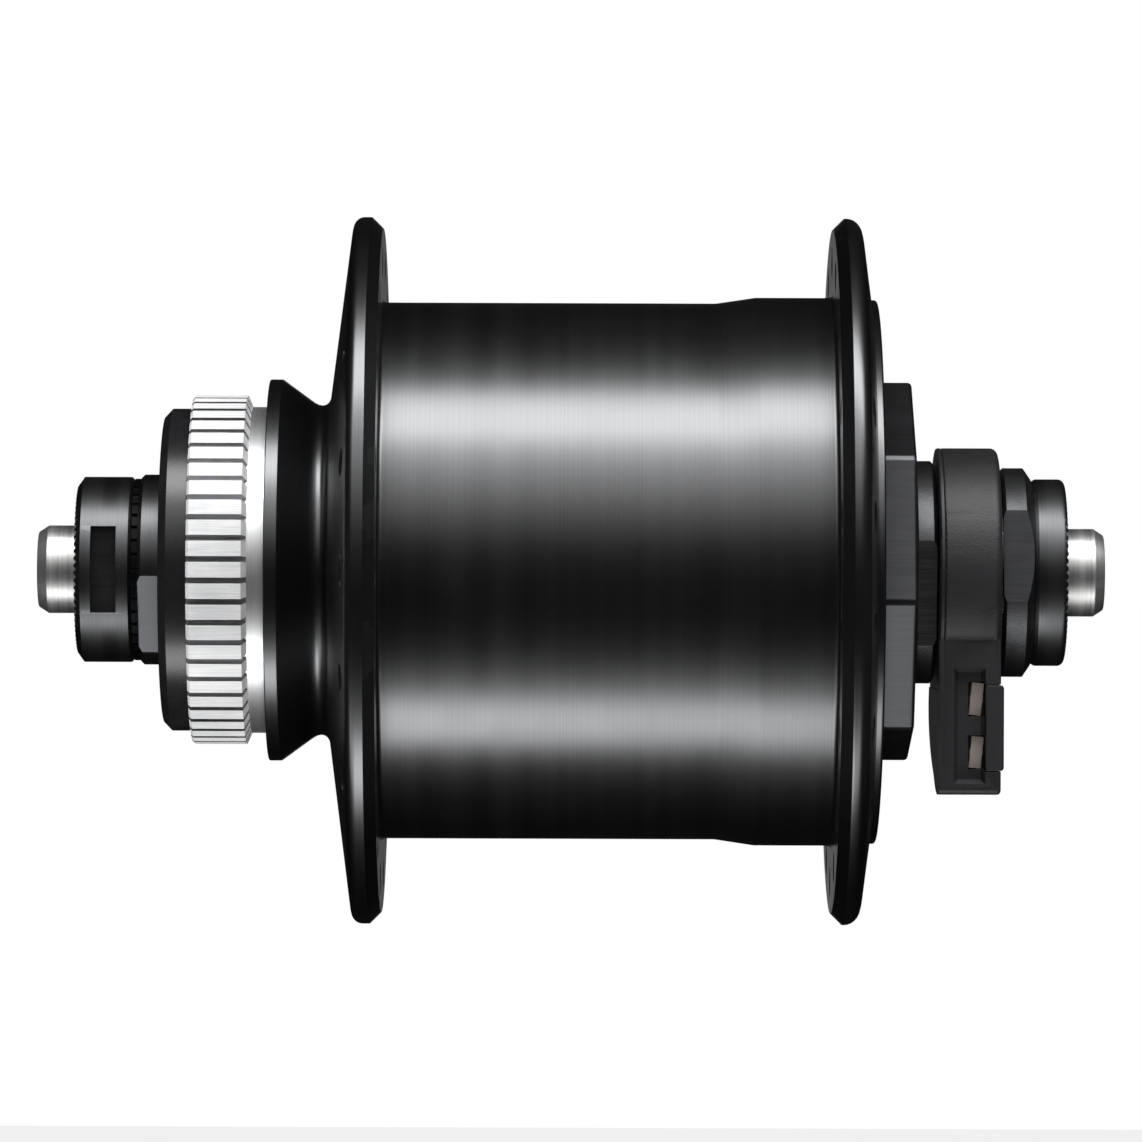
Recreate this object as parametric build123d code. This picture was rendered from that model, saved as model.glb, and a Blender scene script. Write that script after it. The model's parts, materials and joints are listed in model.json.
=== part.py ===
from build123d import *
import os
from math import pi, sqrt

# A bicycle front hub with a claw pole dynamo inside it, in millimetres.
# The wheel spins about +Y. +Y points to the disc brake side, +Z up, and -X to the front.
# The origin is on the axle, midway between the two locknut faces.
# Angles round the axle run from the front (-X) down towards -Z.

# Axle
over_locknut = 100.0
axle_tip_length = 4.0
axle_tip_dia = 8.9
axle_thread_dia = 9.5
axle_chamfer_length = 1.0
axle_chamfer_height = 0.65
skewer_bore_dia = 5.5
stator_seat_dia = 12.0
stator_shoulder_dia = 15.0
stator_shoulder_width = 2.0
seat_overhang = 1.0
thread_clearance = 0.05

# Locknuts, washers and cones, from the disc side locknut inwards
disc_locknut_width = 5.8
disc_locknut_dia = 18.8
disc_locknut_chamfer_length = 0.65
disc_locknut_chamfer_height = 0.9
recess_width = 2.55
recess_height = 8.7
recess_depth = 0.5
recess_inset = 1.55
lock_washer_width = 0.6
lock_washer_dia = 18.45
lock_washer_notch_count = 40
lock_washer_notch_dia = 0.5
disc_wrench_width = 2.8
disc_wrench_dia = 19.3
disc_wrench_flats = 17.0
disc_wrench_angle = 32.0
wrench_chamfer = 0.35
serration_count = 78
serration_depth = 0.18
serration_land_dia = 12.4

# Locknut, nut and cone of the connector side, from its locknut inwards
drive_locknut_width = 3.45
drive_locknut_dia = 18.95
drive_locknut_round = 0.65
drive_locknut_neck_dia = 18.4
drive_locknut_neck_width = 0.5
connector_nut_width = 3.1
connector_nut_dia = 21.2
connector_nut_flats = 19.0
connector_nut_angle = -10.0
connector_nut_chamfer_width = 0.75
connector_nut_face_dia = 19.0
connector_nut_inner_chamfer = 0.3
connector_washer_width = 0.25
connector_washer_dia = 16.0
connector_width = 6.25
cone_boss_dia = 15.0
cone_boss_height = 0.2
drive_collar_width = 1.95
drive_collar_dia = 22.6
drive_collar_flats = 19.85
drive_collar_angle = 12.5

# Ball bearings
ball_dia = 4.76
ball_count = 9
ball_circle_dia = 17.2
race_clearance = 0.05
cage_clearance = 0.1
cage_ring_inset = 0.23
cage_bore_outset = 0.4
cage_back_share = 0.25
cage_front_share = 1.0
cone_nose_share = 0.5
cone_nose_depth_share = 0.925
cone_shoulder_share = 1.1
cone_neck_inset = 0.2
cup_wall = 1.57
cup_back_reach = 3.3
cup_front_reach = 4.0
cup_lip_outset = 0.85
cup_lip_width = 1.2
cup_shoulder_inset = 2.6
seal_width = 1.2
seal_setback = 0.1
seal_lip_chamfer = 0.4
seal_clearance = 0.03

# Disc side boss with its rotor spline and cap
cap_setback = 2.4
cap_width = 2.9
cap_chamfer_length = 0.8
cap_chamfer_height = 0.85
cap_running_clearance = 0.4
cap_spigot_length = 4.3
cap_fit_clearance = 0.1
rotor_clearance = 0.2
spline_tooth_count = 52
spline_length = 6.0
spline_root_dia = 33.1
spline_tooth_height = 1.125
spline_gap = 0.58
spline_runout = 0.5
spline_lead_in = 0.25
lock_ring_wall = 1.25
lock_ring_depth = 5.3
plain_ring_width = 1.75
shoulder_width = 1.3
shoulder_height = 2.8
shoulder_edge = 0.15
neck_length = 4.95
neck_depth = 3.43
neck_round = 1.12
disc_ball_depth = 6.8

# Shell with its barrel and flanges
barrel_dia = 54.4
barrel_wall = 2.2
cover_thread_height = 1.0
cover_thread_length = 5.55
drive_end_wall = 1.8
wide_band_length = 7.8
taper_length = 4.0
flange_height = 8.05
disc_rim_width = 2.85
drive_rim_width = 2.7
flange_inner_chamfer = 1.15
disc_flange_round = 1.05
drive_flange_round = 1.5
flange_root_round = 0.5
disc_flange_width = 5.2
drive_flange_width = 3.8
web_inset = 0.5
cavity_round = 1.0
spoke_hole_count = 18
spoke_hole_dia = 2.6
spoke_hole_edge = 4.35
spoke_hole_chamfer = 0.3
disc_spoke_angle = 80.0
drive_spoke_angle = 90.0

# End cover
cover_proud = 0.7
cover_inset = 0.2
cover_fit_clearance = 0.05
cover_edge_round = 0.65
cover_rim_width = 1.85
cover_plate_width = 3.3
cover_skirt_wall = 2.3
cover_skirt_gap = 0.5
cover_boss_wall = 2.4
octagon_flats = 36.0
octagon_dia = 38.6
octagon_height = 3.5
octagon_edge = 0.5
octagon_angle = 31.4
octagon_gap = 0.4
cover_ball_depth = 5.9
cover_ring_dia = 1.0
cover_ring_groove = 1.3

# Generator inside the barrel
pole_count = 28
air_gap = 0.4
glue_gap = 0.05
back_yoke_wall = 1.9
magnet_thickness = 3.5
magnet_gap = 0.3
rotor_disc_gap = 4.1
rotor_drive_gap = 6.0
stator_inset = 1.0
claw_thickness = 2.0
claw_setback = 1.5
yoke_leg_width = 2.5
claw_gap = 0.67
leg_gap = 0.894
bobbin_wall = 1.0
bobbin_clearance = 0.1
coil_clearance = 0.4
end_plate_width = 1.5
end_plate_dia = 24.0
stator_nut_width = 4.0
stator_nut_flats = 19.0

# Lead from the coil to the connector
lead_dia = 1.0
lead_groove_width = 1.3
lead_depth = 0.05
lead_clearance = 0.2
lead_bend = 1.5
lead_coil_offset = 0.8
lead_angle = 90.0

# Connector
connector_ring_dia = 25.2
ring_inner_round = 0.5
ring_outer_round = 0.75
block_front_inset = 2.0
block_bottom = 22.3
block_foot = 2.4
block_bulge = 4.2
block_bulge_drop = 18.6
block_back_inset = 2.1
block_corner_round = 0.7
block_setback = 0.05
block_edge_round = 0.4
side_cover_width = 0.45
pad_height = 0.22
pad_top = 11.8
pad_crest = 15.5
pad_crown = 60.0
pocket_front_wall = 3.2
pocket_back = 1.5
pocket_top = 5.6
pocket_bottom = 20.3
pocket_depth = 4.4
frame_left = 1.0
frame_right = 4.2
frame_top = 9.6
frame_bottom = 21.2
frame_depth = 0.9
frame_slope_angle = 25.0
window_left = 2.45
window_depth = 1.9
window_slope_angle = 2.0
live_window_top = 10.9
live_window_bottom = 14.5
earth_window_top = 16.3
earth_window_bottom = 19.8
contact_width = 1.22
contact_inset = 0.15
contact_thickness = 0.5
contact_tilt_angle = 6.0
contact_tail_length = 2.2
contact_tail_height = 1.4
contact_tail_width = 0.6
earth_leg_width = 1.2
earth_leg_offset = 2.0
earth_leg_gap = 0.1
insert_proud = 0.3
insert_top = 11.3
insert_bottom = 19.9
insert_depth = 3.0
insert_gap = 0.08
insert_edge = 0.2

# One overrun serves every cut that has to pass right through.
overrun = 1.0

# Places along the axle, disc side
disc_face_y = over_locknut / 2
disc_washer_y = disc_face_y - disc_locknut_width
disc_cone_y = disc_washer_y - lock_washer_width
cap_face_y = disc_cone_y - cap_setback
boss_end_y = cap_face_y - cap_width
spline_end_y = boss_end_y - spline_length
shoulder_y = spline_end_y - plain_ring_width
neck_y = shoulder_y - shoulder_width
flange_root_y = neck_y - neck_length
disc_flange_y = flange_root_y - disc_flange_width
cavity_end_y = disc_flange_y - web_inset
disc_ball_y = boss_end_y - disc_ball_depth

# Places along the axle, connector side
drive_face_y = -over_locknut / 2
connector_nut_y = drive_face_y + drive_locknut_width
connector_washer_y = connector_nut_y + connector_nut_width
connector_outer_y = connector_washer_y + connector_washer_width
connector_inner_y = connector_outer_y + connector_width
drive_cone_y = connector_inner_y + cone_boss_height
drive_collar_y = drive_cone_y + drive_collar_width
octagon_y = drive_collar_y + octagon_gap
cover_y = octagon_y + octagon_height
drive_flange_outer_y = cover_y + cover_proud
drive_flange_y = drive_flange_outer_y + drive_flange_width
cover_seat_y = cover_y + cover_rim_width
thread_end_y = cover_seat_y + cover_thread_length
drive_ball_y = octagon_y + cover_ball_depth

# Radii that several pieces share
thread_r = axle_thread_dia / 2
seat_r = stator_seat_dia / 2
bore_r = thread_r + thread_clearance
ball_r = ball_dia / 2
race_r = ball_r + race_clearance
ball_circle_r = ball_circle_dia / 2
cone_neck_r = ball_circle_r - cone_neck_inset
cup_bore_r = ball_circle_r + race_r
cup_r = cup_bore_r + cup_wall
cup_shoulder_r = cup_r - cup_shoulder_inset
cavity_r = barrel_dia / 2 - barrel_wall
cover_thread_r = cavity_r + cover_thread_height
drive_barrel_r = cover_thread_r + drive_end_wall
cover_r = drive_barrel_r - cover_inset
flange_r = drive_barrel_r + flange_height
spoke_circle_r = flange_r - spoke_hole_edge
spline_root_r = spline_root_dia / 2
lock_ring_r = spline_root_r - lock_ring_wall
cap_r = spline_root_r - rotor_clearance
back_yoke_r = cavity_r - glue_gap
magnet_r = back_yoke_r - back_yoke_wall - glue_gap
stator_r = magnet_r - magnet_thickness - air_gap
claw_bore_r = stator_r - claw_thickness
yoke_count = pole_count // 2
yoke_pitch_angle = 360 / yoke_count
yoke_width = 2 * pi * claw_bore_r / pole_count - claw_gap
core_r = (yoke_width + leg_gap) * yoke_count / (2 * pi)
coil_r = claw_bore_r - coil_clearance

# Stator and rotor along the axle
rotor_disc_y = cavity_end_y - rotor_disc_gap
rotor_drive_y = thread_end_y + rotor_drive_gap
stator_disc_y = rotor_disc_y - stator_inset
stator_drive_y = rotor_drive_y + stator_inset

# Lead and contacts
lead_r = lead_dia / 2
lead_axle_z = -(thread_r - lead_depth - lead_r)
lead_coil_z = -(core_r + bobbin_wall + lead_coil_offset)
groove_floor_r = -lead_axle_z - lead_r - thread_clearance
ring_r = connector_ring_dia / 2
front_x = -(ring_r - block_front_inset)
back_x = ring_r - block_back_inset
pocket_front_x = front_x + pocket_front_wall
housing_inner_y = connector_inner_y - side_cover_width
block_outer_y = connector_outer_y + block_setback
window_left_y = housing_inner_y - window_left
window_right_y = housing_inner_y - frame_right
contact_y = (window_left_y + window_right_y) / 2
contact_face_x = front_x + window_depth - contact_thickness
contact_tail_x = contact_face_x + contact_thickness + contact_tail_length
live_z = -(live_window_top + live_window_bottom) / 2
earth_z = -(earth_window_top + earth_window_bottom) / 2
earth_leg_x = -earth_leg_offset - contact_tail_width
earth_leg_y = contact_y + contact_tail_height / 2 + earth_leg_gap


def outline(*corners):
    """A closed section. A corner is a radius, a place along the axle and, if rounded, a radius."""
    section = make_face(Polyline(*[corner[:2] for corner in corners], close=True))
    for corner in corners:
        if len(corner) == 3:
            vertex = section.vertices().sort_by_distance(corner[:2])[0]
            section = fillet(vertex, corner[2])
    return section


def turned(*corners):
    """A piece turned about the axle from its section."""
    return revolve(outline(*corners), Axis.Y)


def along_axle(sketch, start_y, end_y):
    """A sketch in X and Z drawn out along the axle, from one place down to another."""
    return extrude(Plane.XZ.offset(-start_y) * sketch, amount=start_y - end_y)


def block(x_limits, y_limits, z_limits):
    """A box given by its two limits along each axis."""
    limits = (x_limits, y_limits, z_limits)
    centre = [sum(pair) / 2 for pair in limits]
    size = [abs(pair[1] - pair[0]) for pair in limits]
    return Pos(*centre) * Box(*size)


def around_axle(shape, count, first_angle=0):
    """Copies of a shape, evenly spaced about the axle. Angles run from the front down."""
    return [Rot(0, -first_angle - k * 360 / count, 0) * shape for k in range(count)]


def with_flats(blank, flats, angle, start_y, end_y):
    """A round blank with two wrench flats milled between two places along the axle."""
    reach = flats + overrun
    cutter = block((-flats / 2 - reach, -flats / 2), (end_y, start_y), (-reach, reach))
    return blank - around_axle(cutter, 2, angle)


def with_serrations(nut, face_y, outer_r, side):
    """A locknut with fine radial teeth that bite into the fork end."""
    half_width = pi * serration_land_dia / serration_count / 2
    tooth = Polyline(
        (face_y - side * serration_depth, 0),
        (face_y + side * serration_depth, half_width * 2),
        (face_y + side * serration_depth, -half_width * 2),
        close=True,
    )
    plane = Plane(origin=(-serration_land_dia / 2, 0, 0), x_dir=(0, 1, 0), z_dir=(-1, 0, 0))
    cutter = extrude(plane * make_face(tooth), amount=outer_r)
    return nut - around_axle(cutter, serration_count)


def hub_shell():
    """The spinning shell: boss with the rotor spline, neck, two flanges and the barrel."""
    tip_r = spline_root_r + spline_tooth_height
    shoulder_r = spline_root_r + shoulder_height
    shell = turned(
        (lock_ring_r, boss_end_y),
        (tip_r - spline_lead_in, boss_end_y),
        (tip_r, boss_end_y - spline_lead_in),
        (tip_r, spline_end_y + spline_runout),
        (spline_root_r, spline_end_y),
        (spline_root_r, shoulder_y),
        (shoulder_r, shoulder_y, shoulder_edge),
        (shoulder_r, neck_y, shoulder_edge),
        (shoulder_r - neck_depth, flange_root_y, neck_round),
        (flange_r, disc_flange_y + disc_rim_width, disc_flange_round),
        (flange_r, disc_flange_y + flange_inner_chamfer),
        (flange_r - flange_inner_chamfer, disc_flange_y),
        (barrel_dia / 2, disc_flange_y, flange_root_round),
        (barrel_dia / 2, drive_flange_y + wide_band_length + taper_length),
        (drive_barrel_r, drive_flange_y + wide_band_length),
        (drive_barrel_r, drive_flange_y, flange_root_round),
        (flange_r - flange_inner_chamfer, drive_flange_y),
        (flange_r, drive_flange_y - flange_inner_chamfer),
        (flange_r, drive_flange_y - drive_rim_width, drive_flange_round),
        (cover_r + cover_fit_clearance, drive_flange_outer_y),
        (cover_r + cover_fit_clearance, cover_seat_y),
        (cover_thread_r, cover_seat_y),
        (cover_thread_r, thread_end_y),
        (cavity_r, thread_end_y),
        (cavity_r, cavity_end_y, cavity_round),
        (cup_shoulder_r, cavity_end_y),
        (cup_shoulder_r, disc_ball_y - cup_back_reach),
        (cup_r, disc_ball_y - cup_back_reach),
        (cup_r, boss_end_y - lock_ring_depth),
        (lock_ring_r, boss_end_y - lock_ring_depth),
    )
    slot = block(
        (-tip_r - overrun, -spline_root_r),
        (spline_end_y, boss_end_y + overrun),
        (-spline_gap / 2, spline_gap / 2),
    )
    shell -= around_axle(slot, spline_tooth_count, 180 / spline_tooth_count)
    disc_side_y = sloped_face_y(shoulder_r - neck_depth, flange_root_y, disc_flange_y + disc_rim_width)
    drive_side_y = sloped_face_y(cover_r, drive_flange_outer_y, drive_flange_y - drive_rim_width)
    shell -= spoke_cutters(disc_flange_y, disc_side_y, disc_spoke_angle)
    shell -= spoke_cutters(drive_side_y, drive_flange_y, drive_spoke_angle)
    return shell


def sloped_face_y(root_r, root_y, rim_y):
    """Where a flange's sloping outer face lies at the circle of spoke holes."""
    return root_y + (rim_y - root_y) * (spoke_circle_r - root_r) / (flange_r - root_r)


def spoke_cutters(low_y, high_y, angle):
    """The ring of spoke holes through one flange, each with its edges eased."""
    hole_r = spoke_hole_dia / 2
    flare_r = hole_r + spoke_hole_chamfer + overrun
    cutter = turned(
        (0, low_y - overrun),
        (flare_r, low_y - overrun),
        (hole_r, low_y + spoke_hole_chamfer),
        (hole_r, high_y - spoke_hole_chamfer),
        (flare_r, high_y + overrun),
        (0, high_y + overrun),
    )
    return around_axle(Pos(-spoke_circle_r, 0, 0) * cutter, spoke_hole_count, angle)


def disc_side_cap():
    """The dust cap that closes the lock ring thread at the end of the boss."""
    bore = disc_wrench_dia / 2 + cap_running_clearance
    spigot_bore = cup_r + cap_fit_clearance
    spigot_r = lock_ring_r - cap_fit_clearance
    return turned(
        (bore, cap_face_y),
        (cap_r - cap_chamfer_height, cap_face_y),
        (cap_r, cap_face_y - cap_chamfer_length),
        (cap_r, boss_end_y),
        (spigot_r, boss_end_y),
        (spigot_r, boss_end_y - cap_spigot_length),
        (spigot_bore, boss_end_y - cap_spigot_length),
        (spigot_bore, boss_end_y),
        (bore, boss_end_y),
    )


def bearing_cup(ball_y, side):
    """The hardened ring that the balls run in, with its lip on the inboard side."""
    lip_r = ball_circle_r + cup_lip_outset
    section = outline(
        (lip_r, ball_y - side * cup_back_reach),
        (cup_r, ball_y - side * cup_back_reach),
        (cup_r, ball_y + side * cup_front_reach),
        (cup_bore_r, ball_y + side * cup_front_reach),
        (cup_bore_r, ball_y),
        (lip_r, ball_y),
    )
    return revolve(section - Pos(ball_circle_r, ball_y) * Circle(race_r), Axis.Y)


def bearing_seal(ball_y, side):
    """The rubber ring in the mouth of the cup, whose lip runs on the cone's neck."""
    outer_y = ball_y + side * (cup_front_reach - seal_setback)
    inner_y = outer_y - side * seal_width
    seal_r = cup_bore_r - seal_clearance
    lip_r = cone_neck_r + race_clearance
    return turned(
        (seal_r, inner_y),
        (seal_r, outer_y),
        (lip_r + seal_lip_chamfer, outer_y),
        (lip_r, outer_y - side * seal_lip_chamfer),
        (lip_r, inner_y + side * seal_lip_chamfer),
        (lip_r + seal_lip_chamfer, inner_y),
    )


def ball_set(ball_y, radius=ball_r):
    """The ring of bearing balls."""
    return around_axle(Pos(-ball_circle_r, ball_y, 0) * Sphere(radius), ball_count)


def ball_cage(ball_y, side):
    """The retainer: a ring outboard of the balls with a finger between each two."""
    inner_r = ball_circle_r + cage_bore_outset
    outer_r = cup_bore_r - cage_ring_inset
    ring = turned(
        (inner_r, ball_y - side * cage_back_share * ball_r),
        (outer_r, ball_y - side * cage_back_share * ball_r),
        (outer_r, ball_y + side * cage_front_share * ball_r),
        (inner_r, ball_y + side * cage_front_share * ball_r),
    )
    return ring - ball_set(ball_y, ball_r + cage_clearance)


def cone_section(ball_y, side, *collar):
    """The section of a cone: nose, race and neck, then the corners of its wrench collar."""
    nose_r = ball_circle_r - cone_nose_depth_share * ball_r
    nose_y = ball_y - side * cone_nose_share * ball_r
    section = outline(
        (bore_r, nose_y),
        (nose_r, nose_y),
        (cone_neck_r, ball_y + side * cone_shoulder_share * ball_r),
        *collar,
    )
    return section - Pos(ball_circle_r, ball_y) * Circle(race_r)


def disc_side_cone():
    """The disc side cone, with two flats on its collar for a thin wrench."""
    collar_r = disc_wrench_dia / 2
    collar_y = disc_cone_y - disc_wrench_width
    section = cone_section(
        disc_ball_y,
        1,
        (cone_neck_r, collar_y),
        (collar_r, collar_y),
        (collar_r, disc_cone_y - wrench_chamfer),
        (collar_r - wrench_chamfer, disc_cone_y),
        (bore_r, disc_cone_y),
    )
    cone = revolve(section, Axis.Y)
    return with_flats(cone, disc_wrench_flats, disc_wrench_angle, disc_cone_y + overrun, collar_y)


def drive_side_cone():
    """The connector side cone. Its wide collar shows between the end cover and the connector."""
    collar_r = drive_collar_dia / 2
    section = cone_section(
        drive_ball_y,
        -1,
        (cone_neck_r, drive_collar_y),
        (collar_r, drive_collar_y),
        (collar_r, drive_cone_y + wrench_chamfer),
        (collar_r - wrench_chamfer, drive_cone_y),
        (cone_boss_dia / 2, drive_cone_y),
        (cone_boss_dia / 2, connector_inner_y),
        (bore_r, connector_inner_y),
    )
    cone = revolve(section, Axis.Y)
    return with_flats(cone, drive_collar_flats, drive_collar_angle, drive_collar_y, drive_cone_y)


def disc_side_locknut():
    """The disc side locknut: a round nut with a serrated face and a shallow recess in its rim."""
    nut_r = disc_locknut_dia / 2
    nut = turned(
        (bore_r, disc_washer_y),
        (nut_r - wrench_chamfer, disc_washer_y),
        (nut_r, disc_washer_y + wrench_chamfer),
        (nut_r, disc_face_y - disc_locknut_chamfer_length),
        (nut_r - disc_locknut_chamfer_height, disc_face_y),
        (bore_r, disc_face_y),
    )
    recess_y = disc_washer_y + recess_inset
    nut -= block(
        (-nut_r - overrun, -sqrt(nut_r**2 - (recess_height / 2) ** 2) + recess_depth),
        (recess_y, recess_y + recess_width),
        (-recess_height / 2, recess_height / 2),
    )
    return with_serrations(nut, disc_face_y, nut_r, 1)


def disc_side_lock_washer():
    """The thin notched washer that keeps the locknut from turning the cone."""
    washer_r = lock_washer_dia / 2
    washer = turned(
        (bore_r, disc_cone_y),
        (washer_r, disc_cone_y),
        (washer_r, disc_washer_y),
        (bore_r, disc_washer_y),
    )
    notch = Rot(90, 0, 0) * Cylinder(lock_washer_notch_dia / 2, lock_washer_width + overrun)
    middle_y = (disc_cone_y + disc_washer_y) / 2
    return washer - around_axle(Pos(-washer_r, middle_y, 0) * notch, lock_washer_notch_count)


def drive_side_locknut():
    """The connector side locknut, with a rounded rim, a serrated face and a short neck."""
    nut_r = drive_locknut_dia / 2
    nut = turned(
        (bore_r, connector_nut_y),
        (drive_locknut_neck_dia / 2, connector_nut_y),
        (nut_r, connector_nut_y - drive_locknut_neck_width),
        (nut_r, drive_face_y, drive_locknut_round),
        (bore_r, drive_face_y),
    )
    return with_serrations(nut, drive_face_y, nut_r, -1)


def connector_nut():
    """The nut that holds the connector against the cone, with two wrench flats."""
    nut_r = connector_nut_dia / 2
    nut = turned(
        (bore_r, connector_nut_y),
        (connector_nut_face_dia / 2, connector_nut_y),
        (nut_r, connector_nut_y + connector_nut_chamfer_width),
        (nut_r, connector_washer_y - connector_nut_inner_chamfer),
        (nut_r - connector_nut_inner_chamfer, connector_washer_y),
        (bore_r, connector_washer_y),
    )
    start_y = connector_washer_y + overrun
    return with_flats(nut, connector_nut_flats, connector_nut_angle, start_y, connector_nut_y - overrun)


def connector_washer():
    """The thin plate that earths the connector to the axle."""
    washer_r = connector_washer_dia / 2
    return turned(
        (bore_r, connector_washer_y),
        (washer_r, connector_washer_y),
        (washer_r, connector_outer_y),
        (bore_r, connector_outer_y),
    )


def axle():
    """The hollow axle, with the stator seat in the middle and a groove for the lead."""
    bore = skewer_bore_dia / 2
    tip_r = axle_tip_dia / 2
    disc_end_y = disc_face_y + axle_tip_length
    drive_end_y = drive_face_y - axle_tip_length
    shoulder_end_y = stator_disc_y + end_plate_width
    seat_end_y = stator_drive_y - end_plate_width - stator_nut_width - seat_overhang
    shaft = turned(
        (bore, disc_end_y),
        (tip_r - axle_chamfer_height, disc_end_y),
        (tip_r, disc_end_y - axle_chamfer_length),
        (tip_r, disc_face_y),
        (thread_r, disc_face_y),
        (thread_r, shoulder_end_y + stator_shoulder_width),
        (stator_shoulder_dia / 2, shoulder_end_y + stator_shoulder_width),
        (stator_shoulder_dia / 2, shoulder_end_y),
        (seat_r, shoulder_end_y),
        (seat_r, seat_end_y),
        (thread_r, seat_end_y),
        (thread_r, drive_face_y),
        (tip_r, drive_face_y),
        (tip_r, drive_end_y + axle_chamfer_length),
        (tip_r - axle_chamfer_height, drive_end_y),
        (bore, drive_end_y),
    )
    groove = block(
        (-lead_groove_width / 2, lead_groove_width / 2),
        (contact_y - lead_r - lead_clearance, stator_drive_y),
        (-seat_r - overrun, -groove_floor_r),
    )
    return shaft - groove


def end_cover():
    """The cover screwed into the connector end of the shell, with an octagon for its wrench."""
    skirt_r = cover_thread_r - cover_fit_clearance
    skirt_bore = skirt_r - cover_skirt_wall
    skirt_end_y = thread_end_y - cover_skirt_gap
    boss_end = drive_ball_y + cup_back_reach + cup_lip_width
    boss_r = cup_r + cover_boss_wall
    plate_y = cover_y + cover_plate_width
    groove_floor = skirt_r - cover_ring_dia
    plate = turned(
        (cup_r, cover_y),
        (cover_r, cover_y, cover_edge_round),
        (cover_r, cover_seat_y),
        (groove_floor, cover_seat_y),
        (groove_floor, cover_seat_y + cover_ring_groove),
        (skirt_r, cover_seat_y + cover_ring_groove),
        (skirt_r, skirt_end_y),
        (skirt_bore, skirt_end_y),
        (skirt_bore, plate_y),
        (boss_r, plate_y),
        (boss_r, boss_end),
        (cup_shoulder_r, boss_end),
        (cup_shoulder_r, drive_ball_y + cup_back_reach),
        (cup_r, drive_ball_y + cup_back_reach),
    )
    return plate + wrench_octagon()


def wrench_octagon():
    """The octagon on the cover, with its corners turned down and its outer edge eased."""
    blank = turned(
        (cup_r, octagon_y),
        (octagon_dia / 2 - octagon_edge, octagon_y),
        (octagon_dia / 2, octagon_y + octagon_edge),
        (octagon_dia / 2, cover_y),
        (cup_r, cover_y),
    )
    sides = Rot(0, 0, octagon_angle + 180 / 8) * RegularPolygon(octagon_flats / 2, 8, major_radius=False)
    return blank & along_axle(sides, cover_y, octagon_y)


def cover_seal_ring():
    """The round section ring that seals the end cover in the shell."""
    ring_r = cover_ring_dia / 2
    middle_r = cover_thread_r - cover_fit_clearance - ring_r
    section = Pos(middle_r, cover_seat_y + cover_ring_groove / 2) * Circle(ring_r)
    return revolve(section, Axis.Y)


def back_yoke_ring():
    """The steel ring in the barrel that closes the magnets' flux."""
    inner_r = back_yoke_r - back_yoke_wall
    return turned(
        (inner_r, rotor_drive_y),
        (back_yoke_r, rotor_drive_y),
        (back_yoke_r, rotor_disc_y),
        (inner_r, rotor_disc_y),
    )


def magnets():
    """The magnet segments, one for each pole, glued inside the steel ring."""
    inner_r = magnet_r - magnet_thickness
    gap_angle = 180 / pi * magnet_gap / magnet_r
    section = outline(
        (inner_r, rotor_drive_y),
        (magnet_r, rotor_drive_y),
        (magnet_r, rotor_disc_y),
        (inner_r, rotor_disc_y),
    )
    segment = revolve(section, Axis.Y, revolution_arc=360 / pole_count - gap_angle)
    return Compound(around_axle(segment, pole_count))


def stator_core():
    """The steel tube on the axle that joins the two rings of claws."""
    inner_r = seat_r + thread_clearance
    return turned(
        (inner_r, stator_drive_y),
        (core_r, stator_drive_y),
        (core_r, stator_disc_y),
        (inner_r, stator_disc_y),
    )


def yoke_set(end_y, tip_y, side, angle):
    """One ring of laminated claws. Each has a leg at its own end and a claw over the coil."""
    leg_y = end_y - side * yoke_leg_width
    root_r = core_r + thread_clearance
    section = make_face(
        Polyline(
            (-root_r, end_y),
            (-stator_r, end_y),
            (-stator_r, tip_y),
            (-claw_bore_r, tip_y),
            (-claw_bore_r, leg_y),
            (-root_r, leg_y),
            close=True,
        )
    )
    claw = extrude(section, amount=yoke_width / 2, both=True)
    return Compound(around_axle(claw, yoke_count, angle))


def disc_side_yokes():
    """The ring of claws whose legs are at the disc side end of the stator."""
    return yoke_set(stator_disc_y, stator_drive_y + claw_setback, 1, lead_angle)


def drive_side_yokes():
    """The ring of claws whose legs are at the connector end. The lead passes between two."""
    angle = lead_angle + yoke_pitch_angle / 2
    return yoke_set(stator_drive_y, stator_disc_y - claw_setback, -1, angle)


def bobbin():
    """The plastic spool between the two rings of legs."""
    inner_r = core_r + bobbin_clearance
    tube_r = inner_r + bobbin_wall
    rim_r = claw_bore_r - bobbin_clearance
    disc_y = stator_disc_y - yoke_leg_width - bobbin_clearance
    drive_y = stator_drive_y + yoke_leg_width + bobbin_clearance
    spool = turned(
        (inner_r, disc_y),
        (rim_r, disc_y),
        (rim_r, disc_y - bobbin_wall),
        (tube_r, disc_y - bobbin_wall),
        (tube_r, drive_y + bobbin_wall),
        (rim_r, drive_y + bobbin_wall),
        (rim_r, drive_y),
        (inner_r, drive_y),
    )
    exit_hole = Rot(90, 0, 0) * Cylinder(lead_r + lead_clearance, bobbin_wall + overrun)
    return spool - Pos(0, drive_y + bobbin_wall / 2, lead_coil_z) * exit_hole


def coil():
    """The winding, as the solid ring that its wire fills on the bobbin."""
    inner_r = core_r + bobbin_clearance + bobbin_wall
    disc_y = stator_disc_y - yoke_leg_width - bobbin_clearance - bobbin_wall
    drive_y = coil_drive_y()
    return turned((inner_r, drive_y), (coil_r, drive_y), (coil_r, disc_y), (inner_r, disc_y))


def coil_drive_y():
    """Where the winding ends, on the connector side."""
    return stator_drive_y + yoke_leg_width + bobbin_clearance + bobbin_wall


def end_plate(inner_y, outer_y):
    """A plate that clamps one end of the stator."""
    inner_r = seat_r + thread_clearance
    plate_r = end_plate_dia / 2
    return turned((inner_r, inner_y), (plate_r, inner_y), (plate_r, outer_y), (inner_r, outer_y))


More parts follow.
